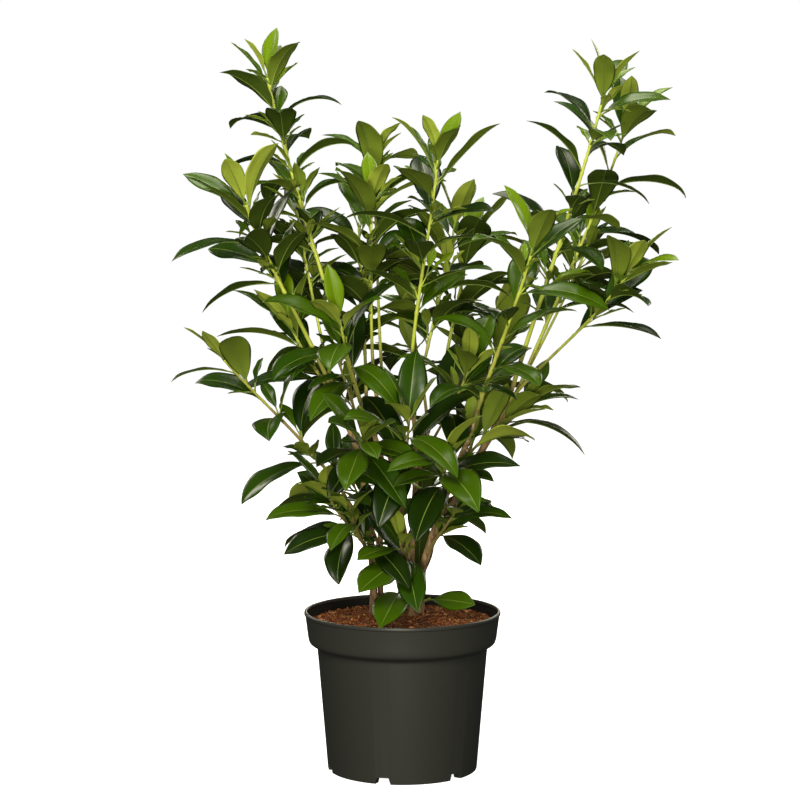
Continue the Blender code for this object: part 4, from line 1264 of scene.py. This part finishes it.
def surface(name, colour, roughness, grain, relief, other=None, spots=None, stretch=(1, 1, 1),
            coat=0.0, gloss=0.5):
    """A procedural finish: grain in roughness and relief, and patches where other is given."""
    material = bpy.data.materials.new(name)
    material.use_nodes = True
    tree = material.node_tree
    shader = tree.nodes["Principled BSDF"]
    shader.inputs["Base Color"].default_value = (*linear(colour), 1)
    shader.inputs["Specular IOR Level"].default_value = gloss
    shader.inputs["Coat Weight"].default_value = coat
    shader.inputs["Coat Roughness"].default_value = COAT_ROUGHNESS

    def add(kind, **values):
        made = tree.nodes.new("ShaderNode" + kind)
        for socket, value in values.items():
            made.inputs[socket.replace("_", " ")].default_value = value
        return made

    def spread(noise_node, low, high, ends):
        made = add("MapRange", From_Min=low, From_Max=high, To_Min=ends[0], To_Max=ends[1])
        tree.links.new(noise_node.outputs["Fac"], made.inputs["Value"])
        return made.outputs["Result"]

    place = add("TexCoord")
    mapping = add("Mapping", Scale=stretch)
    tree.links.new(place.outputs["Object"], mapping.inputs["Vector"])
    fine = add("TexNoise", Scale=grain, Detail=4)
    tree.links.new(mapping.outputs["Vector"], fine.inputs["Vector"])
    tree.links.new(spread(fine, *GRAIN_RANGE, roughness), shader.inputs["Roughness"])
    if relief:
        bump = add("Bump", Strength=RELIEF_STRENGTH, Distance=relief)
        tree.links.new(fine.outputs["Fac"], bump.inputs["Height"])
        tree.links.new(bump.outputs["Normal"], shader.inputs["Normal"])
    if other is not None:
        patches = add("TexNoise", Scale=spots[0], Detail=5)
        tree.links.new(mapping.outputs["Vector"], patches.inputs["Vector"])
        mix = tree.nodes.new("ShaderNodeMix")
        mix.data_type = "RGBA"
        mix.inputs[6].default_value = (*linear(colour), 1)
        mix.inputs[7].default_value = (*linear(other), 1)
        tree.links.new(spread(patches, *spots[1:], (0, 1)), mix.inputs[0])
        tree.links.new(mix.outputs[2], shader.inputs["Base Color"])
    material.diffuse_color = (*linear(colour), 1)
    return material


# Colours in screen values, leaves and twigs from the palest or woodiest on, bark from the foot up.
UPPER_TONES = ((104, 134, 12), (60, 90, 5), (39, 67, 4), (23, 43, 4))
UNDER_TONES = ((164, 180, 64), (116, 136, 40), (70, 90, 22))
RIB_TONE = (126, 148, 60)
TWIG_TONES = ((158, 142, 82), (172, 174, 78), (192, 204, 76))
BUD_TONE = (150, 168, 70)
BARK_TONES = (((150, 120, 82), (84, 64, 40)), ((190, 158, 112), (120, 94, 60)),
              ((216, 186, 134), (158, 130, 84)), ((190, 172, 100), (150, 132, 72)))
SOIL_TONES = (((124, 64, 30), (52, 27, 12)), ((146, 80, 38), (98, 50, 24)),
              ((182, 116, 66), (140, 84, 44)), ((206, 156, 104), (170, 116, 70)))


def leaf_finishes():
    """Finishes of the leaves: upper sides, undersides and ribs."""
    made = []
    for i, tone in enumerate(UPPER_TONES):
        made.append(surface(f"leaf_upper_{i}", tone, (0.28, 0.35), 150, 0, coat=0.05, gloss=0.28))
    for i, tone in enumerate(UNDER_TONES):
        made.append(surface(f"leaf_under_{i}", tone, (0.50, 0.60), 200, 0, gloss=0.3))
    return made + [surface("leaf_rib", RIB_TONE, (0.40, 0.55), 500, 0.00008)]


def twig_finishes():
    """Finishes of the green twigs and their buds."""
    made = []
    for i, tone in enumerate(TWIG_TONES):
        made.append(surface(f"twig_{i}", tone, (0.38, 0.56), 700, 0.00010))
    return made + [surface("bud", BUD_TONE, (0.4, 0.6), 900, 0.00008)]


def bark_finishes():
    """Finishes of the bark, from the foot up."""
    return [
        surface(f"bark_{i}", light, (0.60, 0.85), 620, 0.0006, dark, (240, 0.44, 0.60),
                stretch=(1, 1, 0.22))
        for i, (light, dark) in enumerate(BARK_TONES)
    ]


def soil_finishes():
    """Finishes of compost, crumbs and fibres."""
    return [
        surface(f"compost_{i}", light, (0.82, 0.98), 900, 0.0004, dark, (260, 0.40, 0.62),
                gloss=0.25)
        for i, (light, dark) in enumerate(SOIL_TONES)
    ]


# The studio: a wide pale floor, soft lamps as name, place, size and power, and the camera.
FLOOR_RADIUS = 40
FLOOR_CORNERS = 128
FLOOR_GLOW = 0.94
WORLD_LIGHT = 0.10
WORLD_GLOSS = 0.03
WARMTH = (1.0, 0.95, 0.80)
WORLD_SEEN = 1.0
LIGHTS = (
    ("key", (-0.6, -2.8, 2.5), 1.2, 92),
    ("front", (-0.15, -3.5, 0.6), 0.7, 74),
    ("crown", (0.1, 0.4, 2.7), 1.3, 40),
    ("back_right", (2.2, 2.2, 1.7), 1.3, 34),
    ("back_left", (-2.2, 2.2, 1.7), 1.3, 30),
    ("back", (0.3, 3.4, 0.9), 1.0, 14),
)
CAMERA_PLACE = (-0.0034, -3.6, 0.88)
CAMERA_DIP = math.radians(5.566)
CAMERA_LENS = 115.07
CAMERA_FILM = 36
LAMP_AIM = (0, 0, 0.55)


def build_floor():
    """A plain pale floor."""
    pile = Pile()
    turns = np.linspace(0, 2 * np.pi, FLOOR_CORNERS, endpoint=False)
    points = np.stack([np.cos(turns), np.sin(turns), 0 * turns], axis=1) * FLOOR_RADIUS
    pile.add(points, (np.array([range(FLOOR_CORNERS)]), 0))
    material = surface("floor", (250, 250, 250), (0.7, 0.8), 8, 0.0001)
    shader = material.node_tree.nodes["Principled BSDF"]
    shader.inputs["Emission Color"].default_value = (1, 1, 1, 1)
    shader.inputs["Emission Strength"].default_value = FLOOR_GLOW
    floor = pile.piece("floor", [material])
    floor.visible_diffuse = False
    floor.visible_glossy = False


def add_light(name, place, size, energy):
    """A soft square light that looks at the plant."""
    data = bpy.data.lights.new(name, "AREA")
    data.shape = "SQUARE"
    data.size = size
    data.energy = energy
    data.color = WARMTH
    lamp = bpy.data.objects.new(name, data)
    lamp.location = place
    lamp.visible_camera = False
    lamp.rotation_euler = (Vector(LAMP_AIM) - Vector(place)).to_track_quat("-Z", "Y").to_euler()
    bpy.context.scene.collection.objects.link(lamp)


def build_studio():
    """World, lights and camera."""
    scene = bpy.context.scene
    scene.view_settings.view_transform = "Standard"
    world = bpy.data.worlds.new("studio")
    scene.world = world
    world.use_nodes = True
    tree = world.node_tree
    tree.nodes.clear()
    shades = []
    for strength in (WORLD_LIGHT, WORLD_GLOSS, WORLD_SEEN):
        shade = tree.nodes.new("ShaderNodeBackground")
        shade.inputs["Color"].default_value = (1, 1, 1, 1)
        shade.inputs["Strength"].default_value = strength
        shades.append(shade)
    path = tree.nodes.new("ShaderNodeLightPath")
    out = tree.nodes.new("ShaderNodeOutputWorld")
    shown = shades[0].outputs[0]
    for ray, shade in (("Is Glossy Ray", shades[1]), ("Is Camera Ray", shades[2])):
        mix = tree.nodes.new("ShaderNodeMixShader")
        tree.links.new(path.outputs[ray], mix.inputs[0])
        tree.links.new(shown, mix.inputs[1])
        tree.links.new(shade.outputs[0], mix.inputs[2])
        shown = mix.outputs[0]
    tree.links.new(shown, out.inputs["Surface"])
    for lamp in LIGHTS:
        add_light(*lamp)
    data = bpy.data.cameras.new("camera")
    data.lens = CAMERA_LENS
    data.sensor_width = CAMERA_FILM
    camera = bpy.data.objects.new("camera", data)
    camera.location = CAMERA_PLACE
    camera.rotation_euler = (math.pi / 2 - CAMERA_DIP, 0, 0)
    scene.collection.objects.link(camera)
    scene.camera = camera


BLADE_FACES = blade_faces()
build_studio()
build_floor()
space = Space()
limbs = grow_limbs(space)
# The second finish, pot_inside, is the pot's own plastic darkened as painted shade for the inner
# wall and floor.
build_pot([surface("pot_plastic", (50, 51, 47), (0.36, 0.46), 1400, 0.00006, gloss=0.42),
           surface("pot_inside", (24, 23, 20), (0.5, 0.6), 1400, 0.00006, gloss=0.25)])
build_soil(soil_finishes())
build_bark(limbs, bark_finishes())
build_foliage(space, limbs, leaf_finishes(), twig_finishes())
